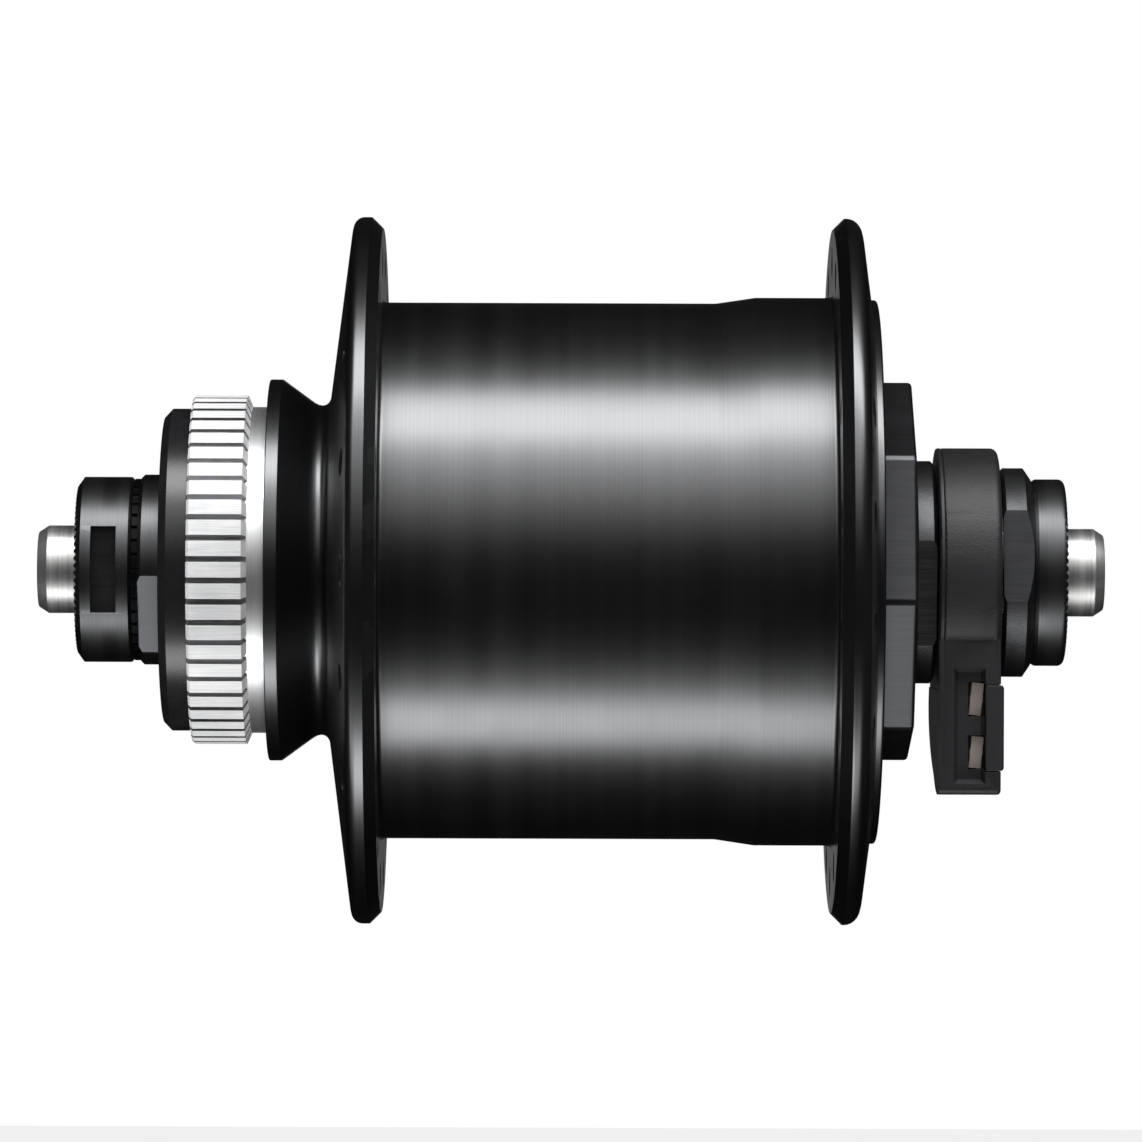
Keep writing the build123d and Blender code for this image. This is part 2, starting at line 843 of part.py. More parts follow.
def disc_side_stator_plate():
    """The plate between the claws and the axle's shoulder."""
    return end_plate(stator_disc_y, stator_disc_y + end_plate_width)


def drive_side_stator_plate():
    """The plate under the stator nut, slotted where the lead turns in to the axle."""
    outer_y = stator_drive_y - end_plate_width
    slot = block(
        (-lead_groove_width / 2, lead_groove_width / 2),
        (outer_y - overrun, stator_drive_y + overrun),
        (-end_plate_dia / 2 - overrun, 0),
    )
    return end_plate(outer_y, stator_drive_y) - slot


def stator_nut():
    """The hexagon nut that clamps the stator on its seat."""
    start_y = stator_drive_y - end_plate_width
    hexagon = RegularPolygon(stator_nut_flats / 2, 6, major_radius=False)
    return along_axle(hexagon - Circle(seat_r + thread_clearance), start_y, start_y - stator_nut_width)


def lead_wire():
    """The lead: from the coil, in through the stator plate, along the axle and down to its contact."""
    plate_y = stator_drive_y - end_plate_width / 2
    route = FilletPolyline(
        (0, coil_drive_y(), lead_coil_z),
        (0, plate_y, lead_coil_z),
        (0, plate_y, lead_axle_z),
        (0, contact_y, lead_axle_z),
        (0, contact_y, live_z),
        (contact_tail_x, contact_y, live_z),
        radius=lead_bend,
    )
    start = Plane(origin=(0, coil_drive_y(), lead_coil_z), z_dir=(0, -1, 0))
    wire = sweep(start * Circle(lead_r), path=route)
    print("lead_wire", round(route.length), "mm long, bends", lead_bend, "mm")
    return wire


def connector_outline():
    """The connector seen along the axle: a ring with a block below it, flat at the front."""
    front_z = -sqrt(ring_r**2 - front_x**2)
    back_z = -sqrt(ring_r**2 - back_x**2)
    foot_x = front_x + block_foot
    edge = Polyline(
        (back_x, back_z),
        (0, 0),
        (front_x, front_z),
        (front_x, -block_bottom),
        (foot_x, -block_bottom),
    )
    back = ThreePointArc((foot_x, -block_bottom), (block_bulge, -block_bulge_drop), (back_x, back_z))
    lower = make_face(edge + back)
    corners = lower.vertices().sort_by(Axis.Y)[:2]
    return fillet(corners, block_corner_round)


def axle_hole(start_y, end_y):
    """The room that the axle takes in a piece threaded on to it."""
    return turned((0, start_y), (bore_r, start_y), (bore_r, end_y), (0, end_y))


def connector_side_cover():
    """The thin plate on the hub side of the connector, with a crowned pad over the block."""
    ring = turned(
        (bore_r, housing_inner_y),
        (ring_r, housing_inner_y),
        (ring_r, connector_inner_y, side_cover_width / 2),
        (bore_r, connector_inner_y),
    )
    foot = along_axle(connector_outline(), connector_inner_y, housing_inner_y)
    pad = along_axle(connector_outline(), connector_inner_y + pad_height, connector_inner_y)
    pad &= block(
        (front_x - overrun, back_x + overrun),
        (connector_inner_y, connector_inner_y + pad_height),
        (-block_bottom - overrun, -pad_top),
    )
    crown = Pos(0, connector_inner_y + pad_height - pad_crown, -pad_crest) * (
        Rot(0, 90, 0) * Cylinder(pad_crown, 2 * connector_ring_dia)
    )
    return ring + (foot - axle_hole(connector_inner_y, housing_inner_y)) + (pad & crown)


def connector_housing():
    """The moulded body of the connector, open towards the hub for the lead and the contacts."""
    body = turned(
        (bore_r, connector_outer_y),
        (ring_r, connector_outer_y, ring_outer_round),
        (ring_r, housing_inner_y, ring_inner_round / 2),
        (bore_r, housing_inner_y),
    )
    foot = along_axle(connector_outline(), housing_inner_y, block_outer_y)
    outer_edges = foot.faces().sort_by(Axis.Y)[0].edges()
    foot = fillet(outer_edges.filter_by_position(Axis.Z, -block_bottom, -ring_r), block_edge_round)
    body += foot - axle_hole(housing_inner_y, block_outer_y)
    body -= block(
        (pocket_front_x, pocket_back),
        (housing_inner_y - pocket_depth, housing_inner_y),
        (-pocket_bottom, -pocket_top),
    )
    body -= block(
        (-lead_groove_width / 2, lead_groove_width / 2),
        (contact_y - lead_r - lead_clearance, housing_inner_y),
        (-pocket_top, 0),
    )
    body -= block(
        (earth_leg_x - lead_clearance, -earth_leg_offset + lead_clearance),
        (earth_leg_y - earth_leg_gap, housing_inner_y),
        (-pocket_top, 0),
    )
    return body - front_recess() - insert_seat(insert_gap)


def front_recess():
    """What is cut into the front face: a bevelled frame, then a window over each contact."""
    frame = front_cutter(frame_left, frame_top, frame_bottom, frame_depth, frame_slope_angle)
    live = front_cutter(window_left, live_window_top, live_window_bottom, window_depth, window_slope_angle)
    earth = front_cutter(window_left, earth_window_top, earth_window_bottom, window_depth, window_slope_angle)
    tails = [
        block(
            (front_x + window_depth - overrun, pocket_front_x + overrun),
            (contact_y - contact_tail_height / 2, contact_y + contact_tail_height / 2),
            (z - contact_tail_width / 2, z + contact_tail_width / 2),
        )
        for z in (live_z, earth_z)
    ]
    return [frame, live, earth, *tails]


def front_cutter(left, top, bottom, depth, slope):
    """A pocket in the connector's front face, with sloping sides, that ends at the insert."""
    middle_y = housing_inner_y - (left + frame_right) / 2
    mouth = Pos(middle_y, -(top + bottom) / 2) * Rectangle(frame_right - left, bottom - top)
    return extrude(Plane.YZ.offset(front_x) * mouth, amount=depth, taper=slope)


def insert_seat(gap):
    """The space of the terminal insert in the outer side of the block."""
    return block(
        (front_x - gap, front_x + insert_depth + gap),
        (block_outer_y - insert_proud, window_right_y + gap),
        (-insert_bottom - gap, -insert_top + gap),
    )


def terminal_insert():
    """The plate set in the outer side of the block, which closes the terminals' windows."""
    plate = insert_seat(0)
    edges = plate.faces().sort_by(Axis.Y)[0].edges()
    return chamfer(edges, insert_edge)


def contact_strip(z):
    """A flat terminal in its window, with a tail through the wall into the housing."""
    blade = block(
        (contact_face_x, contact_face_x + contact_thickness),
        (-contact_width / 2, contact_width / 2),
        (-contact_length(z) / 2, contact_length(z) / 2),
    )
    blade = Pos(0, contact_y, z) * Rot(contact_tilt_angle, 0, 0) * blade
    tail = block(
        (contact_face_x + contact_thickness, contact_tail_x),
        (contact_y - contact_tail_height / 2, contact_y + contact_tail_height / 2),
        (z - contact_tail_width / 2, z + contact_tail_width / 2),
    )
    return blade + tail


def contact_length(z):
    """How tall a terminal is, from the window that it shows in."""
    if z == live_z:
        return live_window_bottom - live_window_top - 2 * contact_inset
    return earth_window_bottom - earth_window_top - 2 * contact_inset


def contact_live():
    """The terminal that the lead is soldered to."""
    return contact_strip(live_z)


def contact_earth():
    """The terminal whose leg reaches up to the axle."""
    foot_z = earth_z - contact_tail_width / 2
    foot = block(
        (contact_tail_x, -earth_leg_offset),
        (contact_y, earth_leg_y + earth_leg_width),
        (foot_z, foot_z + contact_tail_width),
    )
    leg = block(
        (earth_leg_x, -earth_leg_offset),
        (earth_leg_y, earth_leg_y + earth_leg_width),
        (foot_z, -sqrt(bore_r**2 - earth_leg_offset**2)),
    )
    return contact_strip(earth_z) + foot + leg


pieces = {
    "axle": axle(),
    "disc_side_locknut": disc_side_locknut(),
    "disc_side_lock_washer": disc_side_lock_washer(),
    "disc_side_cone": disc_side_cone(),
    "drive_side_cone": drive_side_cone(),
    "connector_side_cover": connector_side_cover(),
    "connector_housing": connector_housing(),
    "terminal_insert": terminal_insert(),
    "contact_live": contact_live(),
    "contact_earth": contact_earth(),
    "connector_washer": connector_washer(),
    "connector_nut": connector_nut(),
    "drive_side_locknut": drive_side_locknut(),
    "stator_core": stator_core(),
    "disc_side_yokes": disc_side_yokes(),
    "drive_side_yokes": drive_side_yokes(),
    "bobbin": bobbin(),
    "coil": coil(),
    "disc_side_stator_plate": disc_side_stator_plate(),
    "drive_side_stator_plate": drive_side_stator_plate(),
    "stator_nut": stator_nut(),
    "lead_wire": lead_wire(),
    "hub_shell": hub_shell(),
    "disc_side_cap": disc_side_cap(),
    "disc_side_cup": bearing_cup(disc_ball_y, 1),
    "disc_side_seal": bearing_seal(disc_ball_y, 1),
    "drive_side_cup": bearing_cup(drive_ball_y, -1),
    "drive_side_seal": bearing_seal(drive_ball_y, -1),
    "end_cover": end_cover(),
    "cover_seal_ring": cover_seal_ring(),
    "back_yoke_ring": back_yoke_ring(),
    "magnets": magnets(),
    "disc_side_balls": Compound(ball_set(disc_ball_y)),
    "disc_side_ball_cage": ball_cage(disc_ball_y, 1),
    "drive_side_balls": Compound(ball_set(drive_ball_y)),
    "drive_side_ball_cage": ball_cage(drive_ball_y, -1),
}

os.makedirs("parts", exist_ok=True)
for name, piece in pieces.items():
    export_step(piece, f"parts/{name}.step")
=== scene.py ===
"""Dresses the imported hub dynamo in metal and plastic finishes, and lights it in a dark tent."""

import json
import logging
import math
from dataclasses import dataclass
from enum import Enum
from typing import Sequence

import bmesh
import bpy
from mathutils import Matrix, Vector

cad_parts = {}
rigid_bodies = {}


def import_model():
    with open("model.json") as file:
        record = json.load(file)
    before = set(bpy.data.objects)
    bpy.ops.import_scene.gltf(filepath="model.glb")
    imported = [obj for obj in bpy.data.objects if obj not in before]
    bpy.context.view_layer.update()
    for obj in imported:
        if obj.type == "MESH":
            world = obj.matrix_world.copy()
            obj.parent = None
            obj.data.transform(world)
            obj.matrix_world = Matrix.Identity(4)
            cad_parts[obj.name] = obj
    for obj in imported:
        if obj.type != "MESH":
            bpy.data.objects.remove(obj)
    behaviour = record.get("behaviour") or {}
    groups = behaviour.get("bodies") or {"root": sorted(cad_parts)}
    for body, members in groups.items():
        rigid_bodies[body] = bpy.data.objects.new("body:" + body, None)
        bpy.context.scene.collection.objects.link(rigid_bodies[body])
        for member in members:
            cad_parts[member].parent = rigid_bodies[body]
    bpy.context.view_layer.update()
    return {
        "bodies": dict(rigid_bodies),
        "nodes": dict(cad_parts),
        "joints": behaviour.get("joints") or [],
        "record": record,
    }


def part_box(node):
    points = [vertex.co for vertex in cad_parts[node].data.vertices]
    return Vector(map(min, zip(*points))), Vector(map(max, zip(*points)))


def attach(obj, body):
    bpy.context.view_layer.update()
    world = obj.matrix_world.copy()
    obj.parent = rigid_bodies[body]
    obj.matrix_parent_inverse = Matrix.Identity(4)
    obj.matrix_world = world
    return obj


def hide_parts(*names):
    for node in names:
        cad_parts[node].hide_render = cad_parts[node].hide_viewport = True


LOG = logging.getLogger("hub")
MM = 0.001
AXLE = (0.0, 1.0, 0.0)
ROUND_STEPS = 6
TOUCHING = 1e-7
SHORTEST_EDGE = 0.06 * MM
BOX_SLACK = 0.02 * MM
OVERRUN = 1.0
Corner = tuple[float, ...]
Socket = bpy.types.NodeSocket


def tangent_length(before: Vector, corner: Vector, after: Vector, radius: float) -> float:
    """How far from a corner its rounding starts.

    Args:
        before: The corner before it.
        corner: The corner that is rounded.
        after: The corner after it.
        radius: The radius of the rounding.

    Returns:
        The distance along each of the two edges.
    """
    angle = (before - corner).angle(after - corner)
    return radius / math.tan(angle / 2)


def section(corners: Sequence[Corner]) -> bmesh.types.BMesh:
    """A flat section through a piece, in the plane of X and Y.

    Args:
        corners: For each corner its radius, its place along the axle and, if rounded, the
            rounding, in mm.

    Returns:
        A mesh with the one face of the section.
    """
    bm = bmesh.new()
    points = [Vector((corner[0], corner[1], 0)) * MM for corner in corners]
    verts = [bm.verts.new(point) for point in points]
    bm.faces.new(verts)
    for i, corner in enumerate(corners):
        if len(corner) == 3:
            after = points[(i + 1) % len(points)]
            bmesh.ops.bevel(
                bm,
                geom=[verts[i]],
                offset=tangent_length(points[i - 1], points[i], after, corner[2] * MM),
                offset_type="OFFSET",
                segments=ROUND_STEPS,
                profile=0.5,
                affect="VERTICES",
                material=-1,
            )
    return bm


def turned(corners: Sequence[Corner], steps: int = 240) -> bmesh.types.BMesh:
    """A solid turned about the axle.

    Args:
        corners: The corners of its section, in mm.
        steps: How many facets go round it.

    Returns:
        The closed solid.
    """
    bm = section(corners)
    bmesh.ops.delete(bm, geom=bm.faces[:], context="FACES_ONLY")
    bmesh.ops.spin(
        bm,
        geom=bm.verts[:] + bm.edges[:],
        cent=(0, 0, 0),
        axis=AXLE,
        angle=math.tau,
        steps=steps,
        use_merge=True,
    )
    bmesh.ops.remove_doubles(bm, verts=bm.verts[:], dist=TOUCHING)
    loose = [edge for edge in bm.edges if not edge.link_faces]
    if loose:
        bmesh.ops.delete(bm, geom=loose, context="EDGES")
    bmesh.ops.recalc_face_normals(bm, faces=bm.faces[:])
    return bm


def everything(bm: bmesh.types.BMesh) -> list:
    """All the vertices, edges and faces of a mesh."""
    return bm.verts[:] + bm.edges[:] + bm.faces[:]


def facing(angle: float) -> Vector:
    """The direction at an angle round the axle, from the front down, in degrees."""
    return Vector((-math.cos(math.radians(angle)), 0, -math.sin(math.radians(angle))))


def mill_flats(bm: bmesh.types.BMesh, across: float, first_angle: float, count: int = 2) -> None:
    """Mills even flats on a turned blank, and marks them for the second finish of the piece.

    Args:
        bm: The blank.
        across: Twice the distance from the axle to a flat, in mm.
        first_angle: Where the first flat faces, in degrees from the front down.
        count: How many flats there are.
    """
    for k in range(count):
        outward = facing(first_angle + 360 / count * k)
        bmesh.ops.bisect_plane(
            bm,
            geom=everything(bm),
            dist=TOUCHING,
            plane_co=outward * across / 2 * MM,
            plane_no=outward,
            clear_outer=True,
        )
        for face in bmesh.ops.holes_fill(bm, edges=bm.edges[:], sides=0)["faces"]:
            face.material_index = 1
        bmesh.ops.remove_doubles(bm, verts=bm.verts[:], dist=SHORTEST_EDGE)


def block(x: Corner, y: Corner, z: Corner) -> bmesh.types.BMesh:
    """A box given by its two limits along each axis, in mm."""
    bm = bmesh.new()
    bmesh.ops.create_cube(bm, size=1)
    size = Vector([abs(pair[1] - pair[0]) for pair in (x, y, z)]) * MM
    centre = Vector([sum(pair) / 2 for pair in (x, y, z)]) * MM
    bmesh.ops.scale(bm, vec=size, verts=bm.verts[:])
    bmesh.ops.translate(bm, vec=centre, verts=bm.verts[:])
    return bm


def ring_of(bm: bmesh.types.BMesh, count: int, first_angle: float) -> None:
    """Repeats a shape that lies at the front, evenly round the axle.

    Args:
        bm: The shape, which becomes the whole ring.
        count: How many there are.
        first_angle: Where the first one goes, in degrees from the front down.
    """
    turn = Matrix.Rotation(math.radians(-first_angle), 3, "Y")
    bmesh.ops.rotate(bm, cent=(0, 0, 0), matrix=turn, verts=bm.verts[:])
    bmesh.ops.spin(
        bm,
        geom=everything(bm),
        cent=(0, 0, 0),
        axis=AXLE,
        angle=math.tau * (count - 1) / count,
        steps=count - 1,
        use_duplicate=True,
    )


def as_object(name: str, bm: bmesh.types.BMesh) -> bpy.types.Object:
    """Makes an object of a finished mesh and frees the mesh code's copy."""
    mesh = bpy.data.meshes.new(name)
    bm.to_mesh(mesh)
    bm.free()
    piece = bpy.data.objects.new(name, mesh)
    bpy.context.scene.collection.objects.link(piece)
    return piece


def turned_piece(name: str, *corners: Corner, steps: int = 240) -> bpy.types.Object:
    """A piece turned about the axle, from the corners of its section in mm."""
    return as_object(name, turned(corners, steps))


def cut(piece: bpy.types.Object, tool: bmesh.types.BMesh) -> None:
    """Cuts a tool solid out of a piece.

    Args:
        piece: The piece, whose mesh is replaced.
        tool: The tool solid, which is used up.
    """
    tool_object = as_object("tool", tool)
    for item in (piece, tool_object):
        while len(item.data.materials) < 2:
            item.data.materials.append(None)
    modifier = piece.modifiers.new("cut", "BOOLEAN")
    modifier.operation = "DIFFERENCE"
    modifier.solver = "EXACT"
    modifier.object = tool_object
    graph = bpy.context.evaluated_depsgraph_get()
    result = bpy.data.meshes.new_from_object(piece.evaluated_get(graph))
    piece.modifiers.clear()
    old, piece.data = piece.data, result
    result.name = piece.name
    bpy.data.meshes.remove(old)
    bpy.data.meshes.remove(tool_object.data)


@dataclass(frozen=True)
class MilledCollar:
    """The collar of a cone with two flats for a thin wrench, in mm and degrees.

    Attributes:
        near_y: Its face toward the middle of the hub.
        far_y: Its outer face, whose rim is chamfered.
        rim_r: Its radius.
        flats: The distance between its flats.
        angle: Where the first flat faces.
        bore_r: The radius of its bore.
        chamfer: The size of the chamfer.
    """

    near_y: float
    far_y: float
    rim_r: float
    flats: float
    angle: float
    bore_r: float = 4.8
    chamfer: float = 0.35

    def build(self, name: str) -> bpy.types.Object:
        """Makes the collar."""
        inward = math.copysign(self.chamfer, self.near_y - self.far_y)
        bm = turned(
            (
                (self.bore_r, self.near_y),
                (self.rim_r, self.near_y),
                (self.rim_r, self.far_y + inward),
                (self.rim_r - self.chamfer, self.far_y),
                (self.bore_r, self.far_y),
            )
        )
        mill_flats(bm, self.flats, self.angle)
        return as_object(name, bm)


@dataclass(frozen=True)
class SerratedFace:
    """The clamping face of a locknut, with fine radial teeth round a dished middle, in mm.

    Attributes:
        teeth: How many teeth there are.
        depth: How deep they are at the rim.
        land_r: The radius of the dished middle.
        dish_depth: How deep the middle lies.
        inset: How far the cutters reach into the middle.
        proud: How far the cutters stand over the face.
        fill: How much of the way to the next cutter each one takes up where it starts.
    """

    teeth: int = 72
    depth: float = 0.28
    land_r: float = 7.6
    dish_depth: float = 0.2
    inset: float = 0.3
    proud: float = 0.01
    fill: float = 0.97

    def cutters(self, face_y: float, outer_r: float) -> bmesh.types.BMesh:
        """The tools that cut the teeth.

        Args:
            face_y: The face.
            outer_r: The nut's radius.

        Returns:
            The ring of tools.
        """
        outward = math.copysign(1.0, face_y)
        start = self.land_r - self.inset
        half = self.fill * math.pi * start / self.teeth
        bm = bmesh.new()
        corners = (
            (face_y - outward * self.depth, 0.0),
            (face_y + outward * self.proud, half),
            (face_y + outward * self.proud, -half),
        )
        face = bm.faces.new([bm.verts.new(Vector((-start, y, z)) * MM) for y, z in corners])
        reach = bmesh.ops.extrude_face_region(bm, geom=[face])["geom"]
        moved = [item for item in reach if isinstance(item, bmesh.types.BMVert)]
        bmesh.ops.translate(bm, vec=(-(outer_r - start + OVERRUN) * MM, 0, 0), verts=moved)
        bmesh.ops.recalc_face_normals(bm, faces=bm.faces[:])
        ring_of(bm, self.teeth, 0)
        return bm


TEETH = SerratedFace()


@dataclass(frozen=True)
class Easing:
    """How the edges of a piece are eased and its faces shaded.

    Attributes:
        width: The width of the eased edge, in mm. Nothing is eased at 0.
        from_angle: Edges sharper than this are eased or kept sharp, in degrees.
    """

    width: float = 0.0
    from_angle: float = 32.0

    def apply(self, piece: bpy.types.Object) -> None:
        """Shades a piece smooth up to its sharp edges, and eases those."""
        piece.data.shade_smooth()
        piece.data.set_sharp_from_angle(angle=math.radians(self.from_angle))
        if self.width:
            bevel = piece.modifiers.new("eased edges", "BEVEL")
            bevel.width = self.width * MM
            bevel.segments = 2
            bevel.limit_method = "ANGLE"
            bevel.angle_limit = math.radians(self.from_angle)
            bevel.use_clamp_overlap = True
            bevel.harden_normals = True
        else:
            normals = piece.modifiers.new("even shading", "WEIGHTED_NORMAL")
            normals.keep_sharp = True


FINE_EDGE = Easing(0.05, 20.0)
EDGE = Easing(0.1, 20.0)
BROAD_EDGE = Easing(0.12, 20.0)


class Graph:
    """A node tree, with short ways to add nodes and join them."""

    def __init__(self, tree: bpy.types.NodeTree) -> None:
        """Takes the tree that the nodes go into."""
        self.tree = tree

    def add(self, kind: str, inputs: dict | None = None, **settings: object) -> bpy.types.Node:
        """Adds a node.

        Args:
            kind: Its type, without the ShaderNode in front.
            inputs: A value or an output socket for each input that isn't left as it is.
            settings: The node's own settings.

        Returns:
            The node.
        """
        node = self.tree.nodes.new("ShaderNode" + kind)
        for name, value in settings.items():
            setattr(node, name, value)
        for name, value in (inputs or {}).items():
            if isinstance(value, Socket):
                self.tree.links.new(value, node.inputs[name])
            else:
                node.inputs[name].default_value = value
        return node

    def join(self, value: Socket, node: bpy.types.Node, name: str) -> None:
        """Joins a socket to an input of a node."""
        self.tree.links.new(value, node.inputs[name])

    def place(self) -> Socket:
        """Where a point is on its piece, in metres."""
        return self.add("TexCoord").outputs["Object"]

    def place_in_mm(self) -> Socket:
        """Where a point is on its piece, in mm."""
        inputs = {0: self.place(), "Scale": 1 / MM}
        return self.add("VectorMath", inputs, operation="SCALE").outputs[0]

    def maths(self, operation: str, *values: object) -> Socket:
        """Adds a Math node on values or sockets, and returns its result."""
        return self.add("Math", dict(enumerate(values)), operation=operation).outputs[0]

    def blend(self, amount: object, first: object, second: object) -> Socket:
        """Mixes two numbers, and returns the mix, where amount is the share of the second."""
        return self.add("Mix", {0: amount, 2: first, 3: second}).outputs[0]

    def blend_colours(self, amount: object, first: object, second: object) -> Socket:
        """Mixes two colours, and returns the mix, where amount is the share of the second."""
        return self.add("Mix", {0: amount, 6: first, 7: second}, data_type="RGBA").outputs[2]

    def ramp(self, value: object, low: float, high: float) -> Socket:
        """Stretches a number so that low gives 0 and high gives 1, with soft ends."""
        node = self.add("MapRange", {"Value": value, "From Min": low, "From Max": high})
        node.interpolation_type = "SMOOTHSTEP"
        return node.outputs[0]


def new_material(name: str) -> tuple[bpy.types.Material, Graph, bpy.types.Node]:
    """Starts a material, and returns it with its graph and its shader."""
    material = bpy.data.materials.new(name)
    material.use_nodes = True
    return material, Graph(material.node_tree), material.node_tree.nodes["Principled BSDF"]


class Effect(Enum):
    """The surface effects that several finishes share, each one node group."""

    TURNING_MARKS = "turning marks"
    MILLING_MARKS = "milling marks"
    GRAIN = "grain"
    HANDLING = "handling"
    EDGE_WEAR = "edge wear"


class Effects:
    """Builds each shared effect once and places it in the materials that use it."""

    def __init__(self) -> None:
        """Builds the node groups."""
        self.groups = {
            Effect.TURNING_MARKS: self.turning_marks(),
            Effect.MILLING_MARKS: self.milling_marks(),
            Effect.GRAIN: self.grain(),
            Effect.HANDLING: self.handling(),
            Effect.EDGE_WEAR: self.edge_wear(),
        }

    @staticmethod
    def start(
        effect: Effect, inputs: dict[str, float], outputs: Sequence[str]
    ) -> tuple[Graph, dict[str, Socket], bpy.types.Node]:
        """Starts a node group.

        Args:
            effect: The effect that it makes.
            inputs: Its inputs, with their usual values.
            outputs: Its outputs.

        Returns:
            Its graph, its input sockets by name, and its output node.
        """
        tree = bpy.data.node_groups.new(effect.value, "ShaderNodeTree")
        for name, value in inputs.items():
            socket = tree.interface.new_socket(name, in_out="INPUT", socket_type="NodeSocketFloat")
            socket.default_value = value
        for name in outputs:
            tree.interface.new_socket(name, in_out="OUTPUT", socket_type="NodeSocketFloat")
        entry = tree.nodes.new("NodeGroupInput")
        leave = tree.nodes.new("NodeGroupOutput")
        return Graph(tree), {name: entry.outputs[name] for name in inputs}, leave

    def turning_marks(self) -> bpy.types.NodeTree:
        """Fine rings round the axle, as a lathe leaves them on barrels and faces alike."""
        graph, entry, leave = self.start(
            Effect.TURNING_MARKS, {"Marks per mm": 6.0, "Bands per mm": 0.5}, ("Marks", "Bands")
        )
        place = graph.place()
        parts = graph.add("SeparateXYZ", {0: place}).outputs
        across = graph.maths("MULTIPLY", parts["X"], parts["X"])
        square = graph.maths("MULTIPLY_ADD", parts["Z"], parts["Z"], across)
        along = graph.maths("ADD", parts["Y"], graph.maths("SQRT", square))
        in_mm = graph.maths("MULTIPLY", along, 1 / MM)
        wander_per_metre, wander_in_mm = 60.0, 0.05
        drift = graph.add("TexNoise", {"Vector": place, "Scale": wander_per_metre, "Detail": 1.0})
        steady = graph.maths("MULTIPLY_ADD", drift.outputs[0], wander_in_mm, in_mm)
        for output, detail in (("Marks", 2.0), ("Bands", 1.0)):
            at = graph.maths("MULTIPLY", steady, entry[output + " per mm"])
            inputs = {"W": at, "Scale": 1.0, "Detail": detail}
            noise = graph.add("TexNoise", inputs, noise_dimensions="1D")
            graph.join(graph.ramp(noise.outputs[0], 0.2, 0.8), leave, output)
        return graph.tree

    def milling_marks(self) -> bpy.types.NodeTree:
        """Fine straight lines along the axle, as a broach or a cutter leaves them."""
        graph, entry, leave = self.start(Effect.MILLING_MARKS, {"Marks per mm": 6.0}, ("Marks",))
        along_share = 0.04
        stretch = {0: graph.place(), 1: (1 / MM, along_share / MM, 1 / MM)}
        drawn = graph.add("VectorMath", stretch, operation="MULTIPLY").outputs[0]
        scale = entry["Marks per mm"]
        lines = graph.add("TexNoise", {"Vector": drawn, "Scale": scale, "Detail": 2.0})
        graph.join(graph.ramp(lines.outputs[0], 0.25, 0.75), leave, "Marks")
        return graph.tree

    def grain(self) -> bpy.types.NodeTree:
        """The fine grain of blasted metal or a textured mould, with a few larger specks."""
        graph, entry, leave = self.start(Effect.GRAIN, {"Grains per mm": 4.0}, ("Height", "Specks"))
        in_mm = graph.place_in_mm()
        scale = entry["Grains per mm"]
        fine = graph.add("TexNoise", {"Vector": in_mm, "Scale": scale, "Detail": 3.0})
        cells = graph.add("TexVoronoi", {"Vector": in_mm, "Scale": scale})
        cell_share, speck_share = 0.45, 0.6
        height = graph.blend(cell_share, fine.outputs[0], cells.outputs["Distance"])
        graph.join(height, leave, "Height")
        rare = graph.maths("MULTIPLY", scale, speck_share)
        spots = graph.add("TexNoise", {"Vector": in_mm, "Scale": rare, "Detail": 1.0})
        graph.join(graph.ramp(spots.outputs[0], 0.62, 0.78), leave, "Specks")
        return graph.tree

    def handling(self) -> bpy.types.NodeTree:
        """Broad, faint patches where a surface was wiped, gripped or dusted."""
        graph, entry, leave = self.start(Effect.HANDLING, {"Patches per mm": 0.12}, ("Smudge",))
        in_mm = graph.place_in_mm()
        scale = entry["Patches per mm"]
        inputs = {"Vector": in_mm, "Scale": scale, "Detail": 4.0, "Distortion": 0.6}
        patches = graph.add("TexNoise", inputs)
        graph.join(graph.ramp(patches.outputs[0], 0.35, 0.7), leave, "Smudge")
        return graph.tree

    def edge_wear(self) -> bpy.types.NodeTree:
        """The thin lighter line along outer edges: partly a finish rubbed or built up, partly a
        painted glint where the edges catch the light.
        """
        graph, entry, leave = self.start(Effect.EDGE_WEAR, {"Sharpness": 0.03}, ("Wear",))
        # pointy outer edges are picked out for lightening, partly as wear and partly as a painted
        # glint
        pointiness = graph.add("NewGeometry").outputs["Pointiness"]
        flat = 0.5
        start = graph.maths("ADD", flat, entry["Sharpness"])
        above = graph.maths("SUBTRACT", pointiness, start)
        share = graph.maths("DIVIDE", above, entry["Sharpness"])
        graph.join(graph.ramp(share, 0.0, 1.0), leave, "Wear")
        return graph.tree

    def place(
        self, graph: Graph, effect: Effect, **values: float
    ) -> bpy.types.bpy_prop_collection:
        """Places an effect in a material.

        Args:
            graph: The material's graph.
            effect: The effect.
            values: Its inputs, with underscores for the spaces in their names.

        Returns:
            The effect's outputs.
        """
        node = graph.tree.nodes.new("ShaderNodeGroup")
        node.node_tree = self.groups[effect]
        for name, value in values.items():
            node.inputs[name.replace("_", " ")].default_value = value
        return node.outputs


